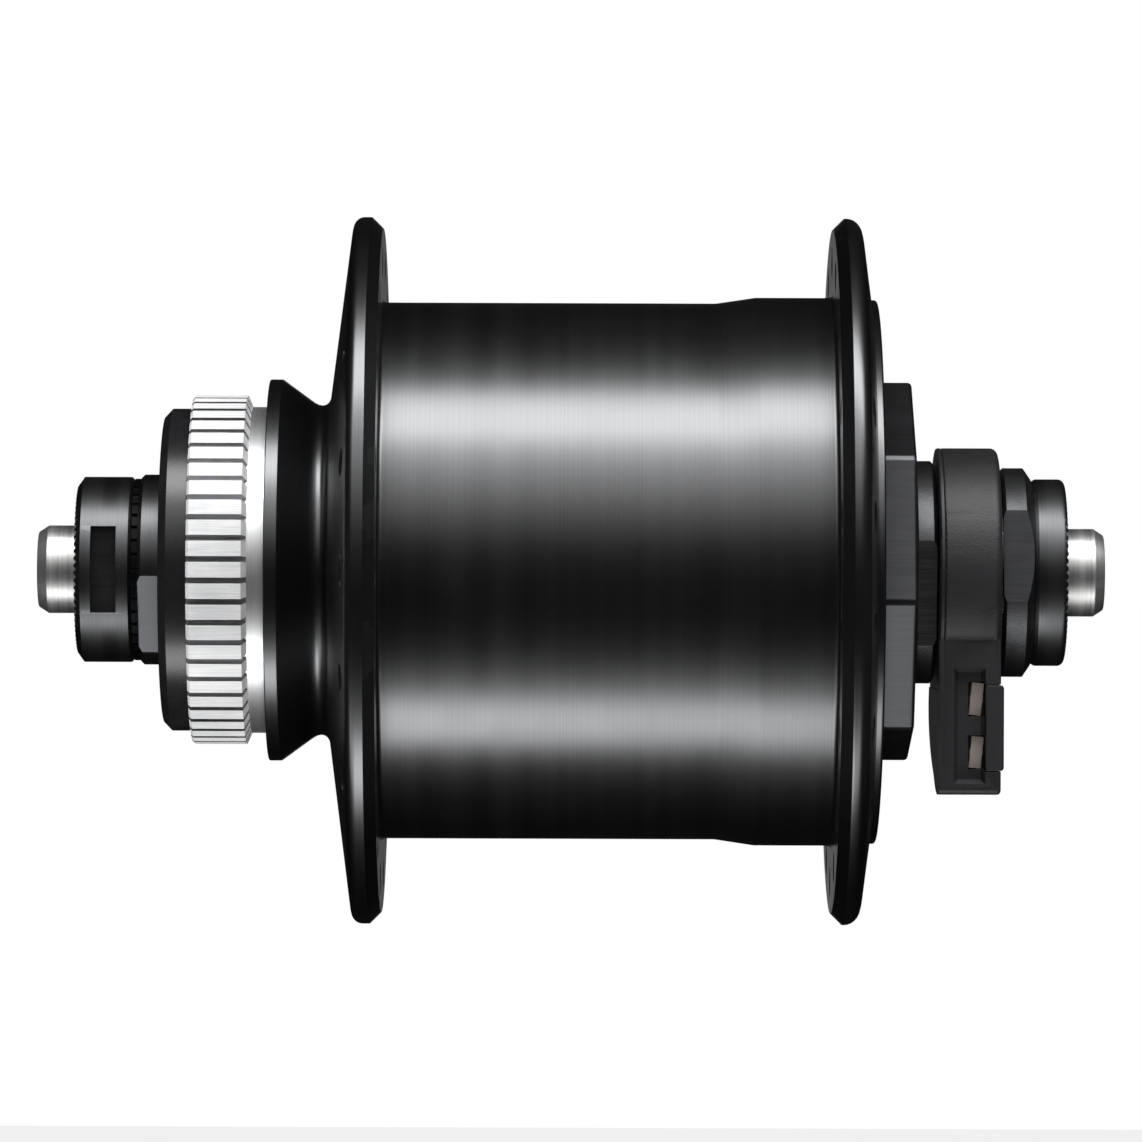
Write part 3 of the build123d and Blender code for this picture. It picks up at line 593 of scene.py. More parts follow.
@dataclass(frozen=True)
class Finish:
    """What every finish has.

    Attributes:
        name: The record's material slot, or the piece's own finish.
        dark: The colour in the marks and pores.
        light: The colour on the crests.
        roughness: The least and the most roughness.
        metallic: How far it is bare metal, from 0 to 1.
        specular: How strongly it mirrors.
        depth: The depth of its relief, in mm.
    """

    name: str
    dark: tuple[float, float, float]
    light: tuple[float, float, float]
    roughness: tuple[float, float]
    metallic: float = 1.0
    specular: float = 0.5
    depth: float = 0.002

    def colours(self, graph: Graph, amount: Socket) -> Socket:
        """The finish's two colours, mixed by a mask."""
        return graph.blend_colours(amount, (*self.dark, 1), (*self.light, 1))

    def surface(self, graph: Graph, effects: Effects) -> tuple[Socket, Socket, Socket]:
        """Makes its colour, how uneven its gloss is and its height."""
        raise NotImplementedError

    def material(self, effects: Effects) -> bpy.types.Material:
        """Makes the material from its surface."""
        material, graph, shader = new_material(self.name)
        shader.inputs["Metallic"].default_value = self.metallic
        shader.inputs["Specular IOR Level"].default_value = self.specular
        colour, uneven, height = self.surface(graph, effects)
        least, most = self.roughness
        rough = graph.add("MapRange", {"Value": uneven, "To Min": least, "To Max": most})
        relief = {"Strength": 1.0, "Distance": self.depth * MM, "Height": height}
        graph.join(colour, shader, "Base Color")
        graph.join(rough.outputs[0], shader, "Roughness")
        graph.join(graph.add("Bump", relief).outputs[0], shader, "Normal")
        return material


@dataclass(frozen=True)
class TurnedMetal(Finish):
    """Metal with the marks of the lathe, bare or anodised.

    Attributes:
        marks_per_mm: How fine the marks are.
        bands_per_mm: How wide the faint bands between them are.
        wear: How much lighter the outer edges are, as rubbed metal and a painted glint.
    """

    marks_per_mm: float = 6.0
    bands_per_mm: float = 0.5
    wear: float = 0.3

    def worn_and_glinting(self) -> tuple[float, ...]:
        """The colour of an edge that is rubbed bright, with a painted glint."""
        gain, lift = 1.8, 0.02
        return (*(min(1.0, part * gain + lift) for part in self.light), 1)

    def surface(self, graph: Graph, effects: Effects) -> tuple[Socket, Socket, Socket]:
        """Makes the marks of the lathe, with bands, handling, and edges lightened by wear and a
        painted glint.
        """
        band_share, smudge_share, grain_share = 0.35, 0.4, 0.15
        density = {"Marks_per_mm": self.marks_per_mm, "Bands_per_mm": self.bands_per_mm}
        lines = effects.place(graph, Effect.TURNING_MARKS, **density)
        smudge = effects.place(graph, Effect.HANDLING)["Smudge"]
        grain = effects.place(graph, Effect.GRAIN, Grains_per_mm=7.0)["Height"]
        wear = effects.place(graph, Effect.EDGE_WEAR)["Wear"]
        colour = self.colours(graph, graph.blend(band_share, lines["Marks"], lines["Bands"]))
        edge = graph.maths("MULTIPLY", wear, self.wear)
        uneven = graph.blend(smudge_share, lines["Bands"], smudge)
        height = graph.blend(grain_share, lines["Marks"], grain)
        # the edges are lightened toward a bright colour, partly as wear and partly as a painted
        # glint
        return graph.blend_colours(edge, colour, self.worn_and_glinting()), uneven, height


@dataclass(frozen=True)
class MilledMetal(Finish):
    """Metal with straight marks along the axle: broached teeth and milled flats.

    Attributes:
        marks_per_mm: How fine the marks are.
    """

    marks_per_mm: float = 5.0

    def surface(self, graph: Graph, effects: Effects) -> tuple[Socket, Socket, Socket]:
        """Makes the straight marks, with grain and handling."""
        in_colour, in_gloss, grain_share = 0.4, 0.5, 0.3
        lines = effects.place(graph, Effect.MILLING_MARKS, Marks_per_mm=self.marks_per_mm)
        grain = effects.place(graph, Effect.GRAIN, Grains_per_mm=6.0)["Height"]
        smudge = effects.place(graph, Effect.HANDLING)["Smudge"]
        marks = lines["Marks"]
        colour = self.colours(graph, graph.blend(in_colour, marks, smudge))
        uneven = graph.blend(in_gloss, marks, smudge)
        return colour, uneven, graph.blend(grain_share, marks, grain)


@dataclass(frozen=True)
class Moulded(Finish):
    """Plastic or rubber from a grained mould, or a sintered or blasted surface.

    Attributes:
        grains_per_mm: How fine the grain is.
    """

    grains_per_mm: float = 5.0

    def surface(self, graph: Graph, effects: Effects) -> tuple[Socket, Socket, Socket]:
        """Makes the grain, with specks, handling, and light edges that are partly wear and partly a
        painted glint.
        """
        speck_share = 0.5
        grain = effects.place(graph, Effect.GRAIN, Grains_per_mm=self.grains_per_mm)
        smudge = effects.place(graph, Effect.HANDLING, Patches_per_mm=0.3)["Smudge"]
        wear = effects.place(graph, Effect.EDGE_WEAR)["Wear"]
        tone = graph.blend(speck_share, smudge, grain["Specks"])
        # the light edges are partly wear and partly a painted glint
        colour = self.colours(graph, graph.maths("MAXIMUM", tone, wear))
        return colour, grain["Height"], grain["Height"]


@dataclass(frozen=True)
class Layered(Finish):
    """Something built of even layers along the axle, such as sheets or turns of wire.

    Attributes:
        layers_per_mm: How many layers there are in a millimetre.
    """

    layers_per_mm: float = 2.0

    def surface(self, graph: Graph, effects: Effects) -> tuple[Socket, Socket, Socket]:
        """Makes the rounded layers, with painted shade in the grooves between them, grain and
        handling.
        """
        groove_shade_width, least_tone = 0.6, 0.8
        along = graph.add("SeparateXYZ", {0: graph.place()}).outputs["Y"]
        turns = graph.maths("MULTIPLY", along, self.layers_per_mm * math.pi / MM)
        crest = graph.maths("ABSOLUTE", graph.maths("SINE", turns))
        smudge = effects.place(graph, Effect.HANDLING, Patches_per_mm=0.25)["Smudge"]
        grain = effects.place(graph, Effect.GRAIN, Grains_per_mm=6.0)["Height"]
        patchy = graph.blend(smudge, least_tone, 1.0)
        # the colour darkens toward each groove between layers: painted shade where they meet
        tone = graph.maths("MULTIPLY", graph.ramp(crest, 0.0, groove_shade_width), patchy)
        return self.colours(graph, tone), grain, crest


FINISHES: tuple[Finish, ...] = (
    TurnedMetal(
        "shell_anodised",
        dark=(0.088, 0.089, 0.091), light=(0.106, 0.107, 0.109),
        roughness=(0.29, 0.33), bands_per_mm=0.4, depth=0.0008,
    ),
    MilledMetal(
        "milled_black",
        dark=(0.052, 0.053, 0.056), light=(0.070, 0.071, 0.075),
        roughness=(0.37, 0.43), marks_per_mm=4.0,
    ),
    MilledMetal(
        "ground_steel",
        dark=(0.03, 0.03, 0.031), light=(0.085, 0.085, 0.087),
        roughness=(0.42, 0.60), metallic=0.5, marks_per_mm=6.0, depth=0.010,
    ),
    MilledMetal(
        "spline_bright",
        dark=(0.70, 0.71, 0.72), light=(1.0, 1.0, 1.0),
        roughness=(0.42, 0.52), metallic=0.08, depth=0.008,
    ),
    # The slot faces get a darker copy of the spline's metal: painted shade down in the slots.
    MilledMetal(
        "spline_slots_painted_shade",
        dark=(0.42, 0.42, 0.43), light=(0.64, 0.64, 0.65),
        roughness=(0.34, 0.42), marks_per_mm=4.0, depth=0.004,
    ),
    TurnedMetal(
        "ring_bright",
        dark=(0.72, 0.73, 0.74), light=(0.86, 0.86, 0.87),
        roughness=(0.37, 0.43), bands_per_mm=1.2, wear=0.2,
    ),
    Moulded(
        "cap_plastic",
        dark=(0.010, 0.010, 0.011), light=(0.018, 0.018, 0.020),
        roughness=(0.25, 0.31), metallic=0.0, grains_per_mm=8.0, depth=0.002,
    ),
    TurnedMetal(
        "axle_steel",
        dark=(0.42, 0.42, 0.42), light=(0.58, 0.58, 0.57),
        roughness=(0.39, 0.47), marks_per_mm=5.0, bands_per_mm=1.2, depth=0.0015, wear=0.2,
    ),
    TurnedMetal(
        "black_steel",
        dark=(0.060, 0.061, 0.063), light=(0.086, 0.087, 0.089),
        roughness=(0.34, 0.42), marks_per_mm=8.0, bands_per_mm=0.6, depth=0.0015,
    ),
    Moulded(
        "nut_black",
        dark=(0.056, 0.057, 0.059), light=(0.088, 0.089, 0.091),
        roughness=(0.38, 0.50), depth=0.018,
    ),
    # The washer is near black as painted shade in the narrow gap between the cone's collar and the
    # locknut.
    Moulded(
        "washer_painted_shade",
        dark=(0.003, 0.003, 0.003), light=(0.008, 0.008, 0.008),
        roughness=(0.45, 0.60), grains_per_mm=6.0, depth=0.006,
    ),
    Moulded(
        "connector_plastic",
        dark=(0.008, 0.008, 0.009), light=(0.016, 0.016, 0.018),
        roughness=(0.42, 0.58), metallic=0.0, grains_per_mm=6.0, depth=0.034, specular=0.42,
    ),
    Moulded(
        "contact_metal",
        dark=(0.30, 0.25, 0.22), light=(0.50, 0.43, 0.39),
        roughness=(0.38, 0.52), metallic=0.5, depth=0.006,
    ),
    TurnedMetal(
        "plated_steel",
        dark=(0.46, 0.46, 0.47), light=(0.62, 0.62, 0.63),
        roughness=(0.25, 0.36),
    ),
    Layered(
        "core_steel",
        dark=(0.16, 0.16, 0.17), light=(0.42, 0.42, 0.43),
        roughness=(0.35, 0.55), depth=0.03,
    ),
    Moulded(
        "bobbin_plastic",
        dark=(0.30, 0.29, 0.25), light=(0.42, 0.40, 0.35),
        roughness=(0.40, 0.55), metallic=0.0, grains_per_mm=4.0, depth=0.004,
    ),
    Layered(
        "coil_copper",
        dark=(0.24, 0.08, 0.03), light=(0.72, 0.34, 0.17),
        roughness=(0.25, 0.40), layers_per_mm=2.5, depth=0.12,
    ),
    Moulded(
        "lead_sheath",
        dark=(0.030, 0.028, 0.028), light=(0.055, 0.052, 0.050),
        roughness=(0.45, 0.60), metallic=0.0, depth=0.004,
    ),
    TurnedMetal(
        "bearing_steel",
        dark=(0.50, 0.50, 0.51), light=(0.66, 0.66, 0.67),
        roughness=(0.10, 0.18), marks_per_mm=8.0, bands_per_mm=1.5, depth=0.0005,
    ),
    Moulded(
        "seal_rubber",
        dark=(0.010, 0.010, 0.010), light=(0.020, 0.020, 0.020),
        roughness=(0.60, 0.75), metallic=0.0, grains_per_mm=6.0, depth=0.006,
    ),
    Moulded(
        "magnet_ferrite",
        dark=(0.035, 0.034, 0.036), light=(0.060, 0.058, 0.060),
        roughness=(0.45, 0.65), metallic=0.0, grains_per_mm=7.0, depth=0.008,
    ),
)


@dataclass(frozen=True)
class Studio:
    """The light, the floor and the camera, with sizes in metres and angles in degrees.

    Attributes:
        lamp_distance: From the object to each lamp.
        tent_radius: The radius of the dark tent, which only gloss sees.
        tent_length: The length of the tent along the axle.
        window_length: The length of the tent's window behind the object.
        floor_drop: How far the floor is below the axle.
        floor_reach: How far the floor reaches to each side.
        end_glow: How bright the two ends of the tent are.
        cloth_dark: How bright the cloth is where no light spills on it.
        fill: How strong the even light from all round is.
        floor_white: How much of the floor's white shows.
        camera_distance: From the camera to the middle of the axle.
        focal_length: The focal length, in mm.
        sensor_width: The width of the sensor, in mm.
        camera_roll: How far the camera leans to the left.
    """

    lamp_distance: float = 0.5
    tent_radius: float = 0.62
    tent_length: float = 1.6
    window_length: float = 0.07
    floor_drop: float = 0.65
    floor_reach: float = 8.0
    end_glow: float = 0.05
    cloth_dark: float = 0.003
    fill: float = 0.34
    floor_white: float = 0.8
    camera_distance: float = 0.7625
    focal_length: float = 236.6
    sensor_width: float = 36.0
    camera_roll: float = 0.2

    def softbox(
        self, name: str, elevation: float, height: float, reach: Corner, radiance: float
    ) -> None:
        """Adds a softbox that shines at the object.

        Args:
            name: Its name.
            elevation: Its angle above the camera's line of sight.
            height: The height of its lit side.
            reach: Where its lit side starts and ends along the axle.
            radiance: How bright its lit side is, where 1 is white.
        """
        length = reach[1] - reach[0]
        lamp = bpy.data.lights.new(name, "AREA")
        lamp.shape = "RECTANGLE"
        lamp.size = length
        lamp.size_y = height
        lamp.energy = radiance * math.pi * length * height
        softbox = bpy.data.objects.new(name, lamp)
        angle, across = math.radians(elevation), Vector(AXLE)
        back = Vector((-math.cos(angle), 0, math.sin(angle)))
        place = back * self.lamp_distance + across * sum(reach) / 2
        up = back.cross(across)
        turn = Matrix((across, up, back)).transposed().to_4x4()
        softbox.matrix_world = Matrix.Translation(place) @ turn
        softbox.visible_camera = False
        bpy.context.scene.collection.objects.link(softbox)

    def white_for_the_eye(self, graph: Graph, white: float, plain: Socket) -> Socket:
        """A shader that is white to the eye and in mirrors and glass, and plain for the rest.

        Args:
            graph: The material's or the world's graph.
            white: How much of the white shows.
            plain: The plain shader.

        Returns:
            The mixed shader.
        """
        path = graph.add("LightPath").outputs
        seen = graph.maths("MAXIMUM", path["Is Camera Ray"], path["Is Glossy Ray"])
        seen = graph.maths("MAXIMUM", seen, path["Is Transmission Ray"])
        kind = "Background" if isinstance(graph.tree.id_data, bpy.types.World) else "Emission"
        glow = graph.add(kind, {"Color": (1, 1, 1, 1), "Strength": 1.0}).outputs[0]
        amount = graph.maths("MULTIPLY", seen, white)
        return graph.add("MixShader", {0: amount, 1: plain, 2: glow}).outputs[0]

    def world(self) -> None:
        """Sets a white surrounding for the eye and a low, even fill for matt surfaces."""
        world = bpy.data.worlds.new("studio")
        world.use_nodes = True
        bpy.context.scene.world = world
        graph = Graph(world.node_tree)
        fill = world.node_tree.nodes["Background"]
        fill.inputs["Color"].default_value = (1, 1, 1, 1)
        fill.inputs["Strength"].default_value = self.fill
        leave = world.node_tree.nodes["World Output"]
        graph.join(self.white_for_the_eye(graph, 1.0, fill.outputs[0]), leave, "Surface")

    def floor(self) -> None:
        """Lays the pale floor well below the object."""
        bm = bmesh.new()
        bmesh.ops.create_grid(bm, x_segments=1, y_segments=1, size=self.floor_reach)
        bmesh.ops.translate(bm, vec=(0, 0, -self.floor_drop), verts=bm.verts[:])
        floor = as_object("floor", bm)
        material, graph, shader = new_material("floor_pale")
        shader.inputs["Roughness"].default_value = 0.9
        cloud = graph.add("TexNoise", {"Vector": graph.place(), "Scale": 3.0}).outputs[0]
        pale = graph.blend_colours(cloud, (0.88, 0.88, 0.88, 1), (0.92, 0.92, 0.92, 1))
        graph.join(pale, shader, "Base Color")
        leave = material.node_tree.nodes["Material Output"]
        seen = self.white_for_the_eye(graph, self.floor_white, shader.outputs[0])
        graph.join(seen, leave, "Surface")
        floor.data.materials.append(material)

    def tent(self) -> None:
        """Hangs dark cloth with a window at the back, that shows only as a mirror image."""
        bm = bmesh.new()
        bmesh.ops.create_cone(
            bm,
            cap_ends=True,
            segments=72,
            radius1=self.tent_radius,
            radius2=self.tent_radius,
            depth=self.tent_length,
            matrix=Matrix.Rotation(math.radians(90), 4, "X"),
        )
        for side in (-1, 1):
            bmesh.ops.bisect_plane(
                bm,
                geom=everything(bm),
                plane_co=(0, side * self.window_length / 2, 0),
                plane_no=AXLE,
            )
        behind, half = 0.99 * self.tent_radius, self.window_length / 2
        places = {face: face.calc_center_median() for face in bm.faces}
        window = [face for face, at in places.items() if at.x > behind and abs(at.y) < half]
        bmesh.ops.delete(bm, geom=window, context="FACES")
        tent = as_object("dark_tent", bm)
        material, graph, _ = new_material("tent_cloth")
        glow = graph.add("Emission", {"Color": (1, 1, 1, 1), "Strength": self.spill(graph)})
        leave = material.node_tree.nodes["Material Output"]
        graph.join(glow.outputs[0], leave, "Surface")
        tent.data.materials.append(material)
        tent.visible_camera = False
        tent.visible_diffuse = False
        tent.visible_transmission = False
        tent.visible_shadow = False

    def spill(self, graph: Graph) -> Socket:
        """The light that the softboxes spill on the cloth, from their edges toward the camera.

        Args:
            graph: The cloth's graph.

        Returns:
            The brightness of the cloth.
        """
        parts = graph.add("SeparateXYZ", {0: graph.place()}).outputs
        forward = graph.maths("MULTIPLY", parts["X"], -1.0)
        elevation = graph.maths("DEGREES", graph.maths("ARCTAN2", parts["Z"], forward))
        depression = graph.maths("MULTIPLY", elevation, -1.0)
        total = self.cloth_dark
        full, edge, gone = 55.0, 54.0, 68.0
        upper = (elevation, 10.0, 1.45, 3.4)
        lower = (depression, 34.0, 1.5, 0.8)
        for angle, start, power, strength in (upper, lower):
            reach = {"Value": angle, "From Min": start, "From Max": full}
            rise = graph.add("MapRange", reach).outputs[0]
            fall = graph.ramp(angle, gone, edge)
            lit = graph.maths("MULTIPLY", graph.maths("POWER", rise, power), fall)
            total = graph.maths("MULTIPLY_ADD", lit, strength, total)
        along, length = graph.maths("ABSOLUTE", parts["Y"]), self.tent_length
        near = graph.ramp(along, length * 0.4, length * 0.2)
        far = graph.ramp(along, length * 0.44, length * 0.5)
        ends = graph.maths("MAXIMUM", graph.maths("MULTIPLY", far, self.end_glow), self.cloth_dark)
        return graph.maths("MAXIMUM", graph.maths("MULTIPLY", total, near), ends)

    def camera(self) -> None:
        """Sets the camera in front of the hub, level with the axle."""
        camera = bpy.data.cameras.new("camera")
        camera.lens = self.focal_length
        camera.sensor_width = self.sensor_width
        camera.clip_start = 0.05
        camera.clip_end = 20.0
        eye = bpy.data.objects.new("camera", camera)
        forward = Matrix.Rotation(math.radians(-90), 4, "Z")
        upright = forward @ Matrix.Rotation(math.radians(90), 4, "X")
        roll = Matrix.Rotation(math.radians(self.camera_roll), 4, "Z")
        place = Matrix.Translation((-self.camera_distance, 0, 0))
        eye.matrix_world = place @ upright @ roll
        bpy.context.scene.collection.objects.link(eye)
        bpy.context.scene.camera = eye

    def build(self) -> None:
        """Sets up the whole studio."""
        bpy.context.scene.view_settings.view_transform = "Standard"
        self.world()
        self.floor()
        self.tent()
        for name, elevation, height, reach, radiance in (
            ("softbox_above", 68.0, 0.20, (-0.58, 0.25), 8.9),
            ("softbox_below", -66.0, 0.18, (-0.055, 0.13), 6.8),
            ("softbox_below_left", -66.0, 0.18, (0.13, 0.55), 2.75),
            ("softbox_below_right", -66.0, 0.18, (-0.35, -0.055), 2.6),
        ):
            self.softbox(name, elevation, height, reach, radiance)
        self.camera()


@dataclass
class Workshop:
    """The frame and the materials that every sub-assembly works with.

    Attributes:
        frame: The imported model.
        materials: The materials by the name of their finish.
    """

    frame: dict
    materials: dict[str, bpy.types.Material]

    def dress(
        self,
        piece: bpy.types.Object,
        finishes: Sequence[str],
        body: str,
        node: str,
        easing: Easing = Easing(),
    ) -> None:
        """Finishes a piece and puts it in the place of its node.

        Args:
            piece: The piece.
            finishes: Its finish, and that of its milled flats if it has any.
            body: The body that it moves with.
            node: The node that it stands for.
            easing: How its edges are eased.
        """
        easing.apply(piece)
        places = [min(face.material_index, len(finishes) - 1) for face in piece.data.polygons]
        piece.data.materials.clear()
        for finish in finishes:
            piece.data.materials.append(self.materials[finish])
        piece.data.polygons.foreach_set("material_index", places)
        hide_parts(node)
        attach(piece, body)
        low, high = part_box(node)
        corners = [vertex.co for vertex in piece.data.vertices]
        for i, axis in enumerate("XYZ"):
            least, most = min(c[i] for c in corners), max(c[i] for c in corners)
            over = max(low[i] - least, most - high[i])
            if over > BOX_SLACK:
                names = (piece.name, node, axis)
                LOG.warning("%s leaves the box of %s along %s by %.3f mm", *names, over / MM)
        LOG.info("%s stands for %s: %d faces", piece.name, node, len(piece.data.polygons))

    def paint_node(self, node: str, finish: str) -> None:
        """Gives a node that stays as it is the material of its finish."""
        for slot in self.frame["nodes"][node].material_slots:
            slot.material = self.materials[finish]
        LOG.info("%s keeps its shape, finish %s", node, finish)


@dataclass
class HubShell:
    """The turned shell: a bright rotor spline on a black body with two spoke flanges, in mm."""

    boss_end_y: float = 38.3
    spline_end_y: float = 32.3
    shoulder_y: float = 30.55
    neck_y: float = 29.25
    flange_root_y: float = 24.55
    disc_flange_y: float = 19.1
    drive_flange_y: float = -26.4
    drive_outer_y: float = -30.2
    cover_seat_y: float = -29.05
    thread_end_y: float = -23.5
    cavity_end_y: float = 18.6
    cup_back_y: float = 28.2
    lock_ring_y: float = 33.0
    flange_r: float = 35.85
    disc_rim: float = 2.85
    drive_rim: float = 2.7
    flange_chamfer: float = 1.15
    spoke_circle_r: float = 31.5
    spoke_hole_r: float = 1.3
    spoke_hole_flare: float = 0.3
    spoke_hole_count: int = 18
    disc_spoke_angle: float = 80.0
    drive_spoke_angle: float = 90.0
    barrel_r: float = 27.2
    wide_r: float = 27.8
    cover_r: float = 27.65
    thread_r: float = 26.0
    cavity_r: float = 25.0
    shoulder_r: float = 19.35
    neck_r: float = 15.92
    spline_tip_r: float = 17.675
    spline_root_r: float = 16.55
    spline_gap: float = 0.58
    tooth_count: int = 52
    lock_ring_r: float = 15.3
    cup_r: float = 12.6
    bore_r: float = 10.0
    widening: tuple[float, float] = (11.8, 7.8)
    tooth_chamfer: float = 0.25
    tooth_run_out: float = 0.5
    edge_round: float = 0.15
    chamfer_round: float = 0.12
    flange_foot_round: float = 0.5
    neck_round: float = 1.12
    disc_rim_round: float = 1.05
    broad_round: float = 1.5
    cavity_round: float = 1.0

    def spoke_cutters(self, low_y: float, high_y: float, angle: float) -> bmesh.types.BMesh:
        """The ring of tools that drill one flange and ease the edges of the holes.

        Args:
            low_y: The flange's lower face at the circle of holes.
            high_y: Its upper face there.
            angle: Where the first hole is.

        Returns:
            The tools.
        """
        flare = self.spoke_hole_flare
        wide = self.spoke_hole_r + flare + OVERRUN
        bm = turned(
            (
                (0.0, low_y - OVERRUN),
                (wide, low_y - OVERRUN),
                (self.spoke_hole_r, low_y + flare),
                (self.spoke_hole_r, high_y - flare),
                (wide, high_y + OVERRUN),
                (0.0, high_y + OVERRUN),
            ),
            steps=28,
        )
        bmesh.ops.translate(bm, vec=(-self.spoke_circle_r * MM, 0, 0), verts=bm.verts[:])
        ring_of(bm, self.spoke_hole_count, angle)
        return bm

    def body(self) -> bpy.types.Object:
        """The black body, from the shoulder to the rim round the end cover."""
        disc_rim_y = self.disc_flange_y + self.disc_rim
        drive_rim_y = self.drive_flange_y - self.drive_rim
        chamfer_r = self.flange_r - self.flange_chamfer
        wide_from, wide_to = self.widening
        piece = turned_piece(
            "shell_body",
            (self.spline_root_r, self.shoulder_y),
            (self.shoulder_r, self.shoulder_y, self.edge_round),
            (self.shoulder_r, self.neck_y, self.edge_round),
            (self.neck_r, self.flange_root_y, self.neck_round),
            (self.flange_r, disc_rim_y, self.disc_rim_round),
            (self.flange_r, self.disc_flange_y + self.flange_chamfer, self.chamfer_round),
            (chamfer_r, self.disc_flange_y, self.chamfer_round),
            (self.barrel_r, self.disc_flange_y, self.flange_foot_round),
            (self.barrel_r, self.drive_flange_y + wide_from, self.broad_round),
            (self.wide_r, self.drive_flange_y + wide_to, self.broad_round),
            (self.wide_r, self.drive_flange_y, self.flange_foot_round),
            (chamfer_r, self.drive_flange_y, self.chamfer_round),
            (self.flange_r, self.drive_flange_y - self.flange_chamfer, self.chamfer_round),
            (self.flange_r, drive_rim_y, self.broad_round),
            (self.cover_r, self.drive_outer_y, self.edge_round),
            (self.cover_r, self.cover_seat_y),
            (self.thread_r, self.cover_seat_y),
            (self.thread_r, self.thread_end_y),
            (self.cavity_r, self.thread_end_y),
            (self.cavity_r, self.cavity_end_y, self.cavity_round),
            (self.bore_r, self.cavity_end_y),
            (self.bore_r, self.cup_back_y),
            (self.cup_r, self.cup_back_y),
            (self.cup_r, self.shoulder_y),
        )
        disc_side_y = self.slope_y(self.neck_r, self.flange_root_y, disc_rim_y)
        drive_side_y = self.slope_y(self.cover_r, self.drive_outer_y, drive_rim_y)
        cut(piece, self.spoke_cutters(self.disc_flange_y, disc_side_y, self.disc_spoke_angle))
        cut(piece, self.spoke_cutters(drive_side_y, self.drive_flange_y, self.drive_spoke_angle))
        return piece

    def slope_y(self, root_r: float, root_y: float, rim_y: float) -> float:
        """Where a flange's sloping outer face lies at the circle of spoke holes."""
        run = self.flange_r - root_r
        return root_y + (rim_y - root_y) * (self.spoke_circle_r - root_r) / run

    def boss(self) -> bpy.types.Object:
        """The bright end of the boss, with the spline that carries the rotor."""
        piece = turned_piece(
            "spline_boss",
            (self.lock_ring_r, self.boss_end_y),
            (self.spline_tip_r - self.tooth_chamfer, self.boss_end_y),
            (self.spline_tip_r, self.boss_end_y - self.tooth_chamfer),
            (self.spline_tip_r, self.spline_end_y + self.tooth_run_out),
            (self.spline_root_r, self.spline_end_y),
            (self.lock_ring_r, self.spline_end_y),
            steps=4 * self.tooth_count,
        )
        half = self.spline_gap / 2
        depth = (-self.spline_tip_r - OVERRUN, -self.spline_root_r)
        slots = block(depth, (self.spline_end_y, self.boss_end_y + OVERRUN), (-half, half))
        ring_of(slots, self.tooth_count, 180 / self.tooth_count)
        # the slot faces take the darker finish, painted shade in the slots
        for face in slots.faces:
            face.material_index = 1
        cut(piece, slots)
        return piece

    def boss_ring(self) -> bpy.types.Object:
        """The bright turned ring between the spline and the shoulder."""
        return turned_piece(
            "boss_ring",
            (self.spline_root_r, self.spline_end_y),
            (self.spline_root_r, self.shoulder_y),
            (self.cup_r, self.shoulder_y),
            (self.cup_r, self.lock_ring_y),
            (self.lock_ring_r, self.lock_ring_y),
            (self.lock_ring_r, self.spline_end_y),
        )

    def build(self, shop: Workshop) -> None:
        """Builds and dresses the shell."""
        shop.dress(self.body(), ("shell_anodised",), "shell", "hub_shell")
        finishes = ("spline_bright", "spline_slots_painted_shade")
        shop.dress(self.boss(), finishes, "shell", "hub_shell", FINE_EDGE)
        shop.dress(self.boss_ring(), ("ring_bright",), "shell", "hub_shell")


@dataclass
class EndCover:
    """The cover in the connector end of the shell, with its wrench octagon, in mm."""

    octagon_y: float = -34.4
    cover_y: float = -30.9
    seat_y: float = -29.05
    plate_y: float = -27.6
    cover_r: float = 27.6
    skirt_r: float = 25.95
    bore_r: float = 12.6
    octagon_r: float = 19.38
    octagon_flats: float = 36.0
    octagon_angle: float = 31.4
    octagon_round: float = 0.45
    octagon_sides: int = 8
    rim_round: float = 0.3

    def octagon(self) -> bpy.types.Object:
        """The octagon for the wrench, with the rim of its face rounded."""
        bm = turned(
            (
                (self.bore_r, self.octagon_y),
                (self.octagon_r, self.octagon_y),
                (self.octagon_r, self.cover_y),
                (self.bore_r, self.cover_y),
            ),
            steps=120,
        )
        mill_flats(bm, self.octagon_flats, self.octagon_angle, self.octagon_sides)
        outside = (self.bore_r + self.octagon_flats / 2) / 2 * MM
        on_rim = {
            vert
            for vert in bm.verts
            if abs(vert.co.y - self.octagon_y * MM) < SHORTEST_EDGE
            and math.hypot(vert.co.x, vert.co.z) > outside
        }
        bmesh.ops.bevel(
            bm,
            geom=[edge for edge in bm.edges if on_rim.issuperset(edge.verts)],
            offset=self.octagon_round * MM,
            affect="EDGES",
            segments=5,
            profile=0.5,
            material=-1,
        )
        return as_object("cover_octagon", bm)

    def build(self, shop: Workshop) -> None:
        """Builds and dresses the cover: a turned plate with the octagon on it."""
        piece = turned_piece(
            "cover_plate",
            (self.bore_r, self.cover_y),
            (self.cover_r, self.cover_y, self.rim_round),
            (self.cover_r, self.seat_y),
            (self.skirt_r, self.seat_y),
            (self.skirt_r, self.plate_y),
            (self.bore_r, self.plate_y),
        )
        shop.dress(piece, ("shell_anodised",), "shell", "end_cover")
        octagon = self.octagon()
        shop.dress(octagon, ("milled_black",), "shell", "end_cover", BROAD_EDGE)


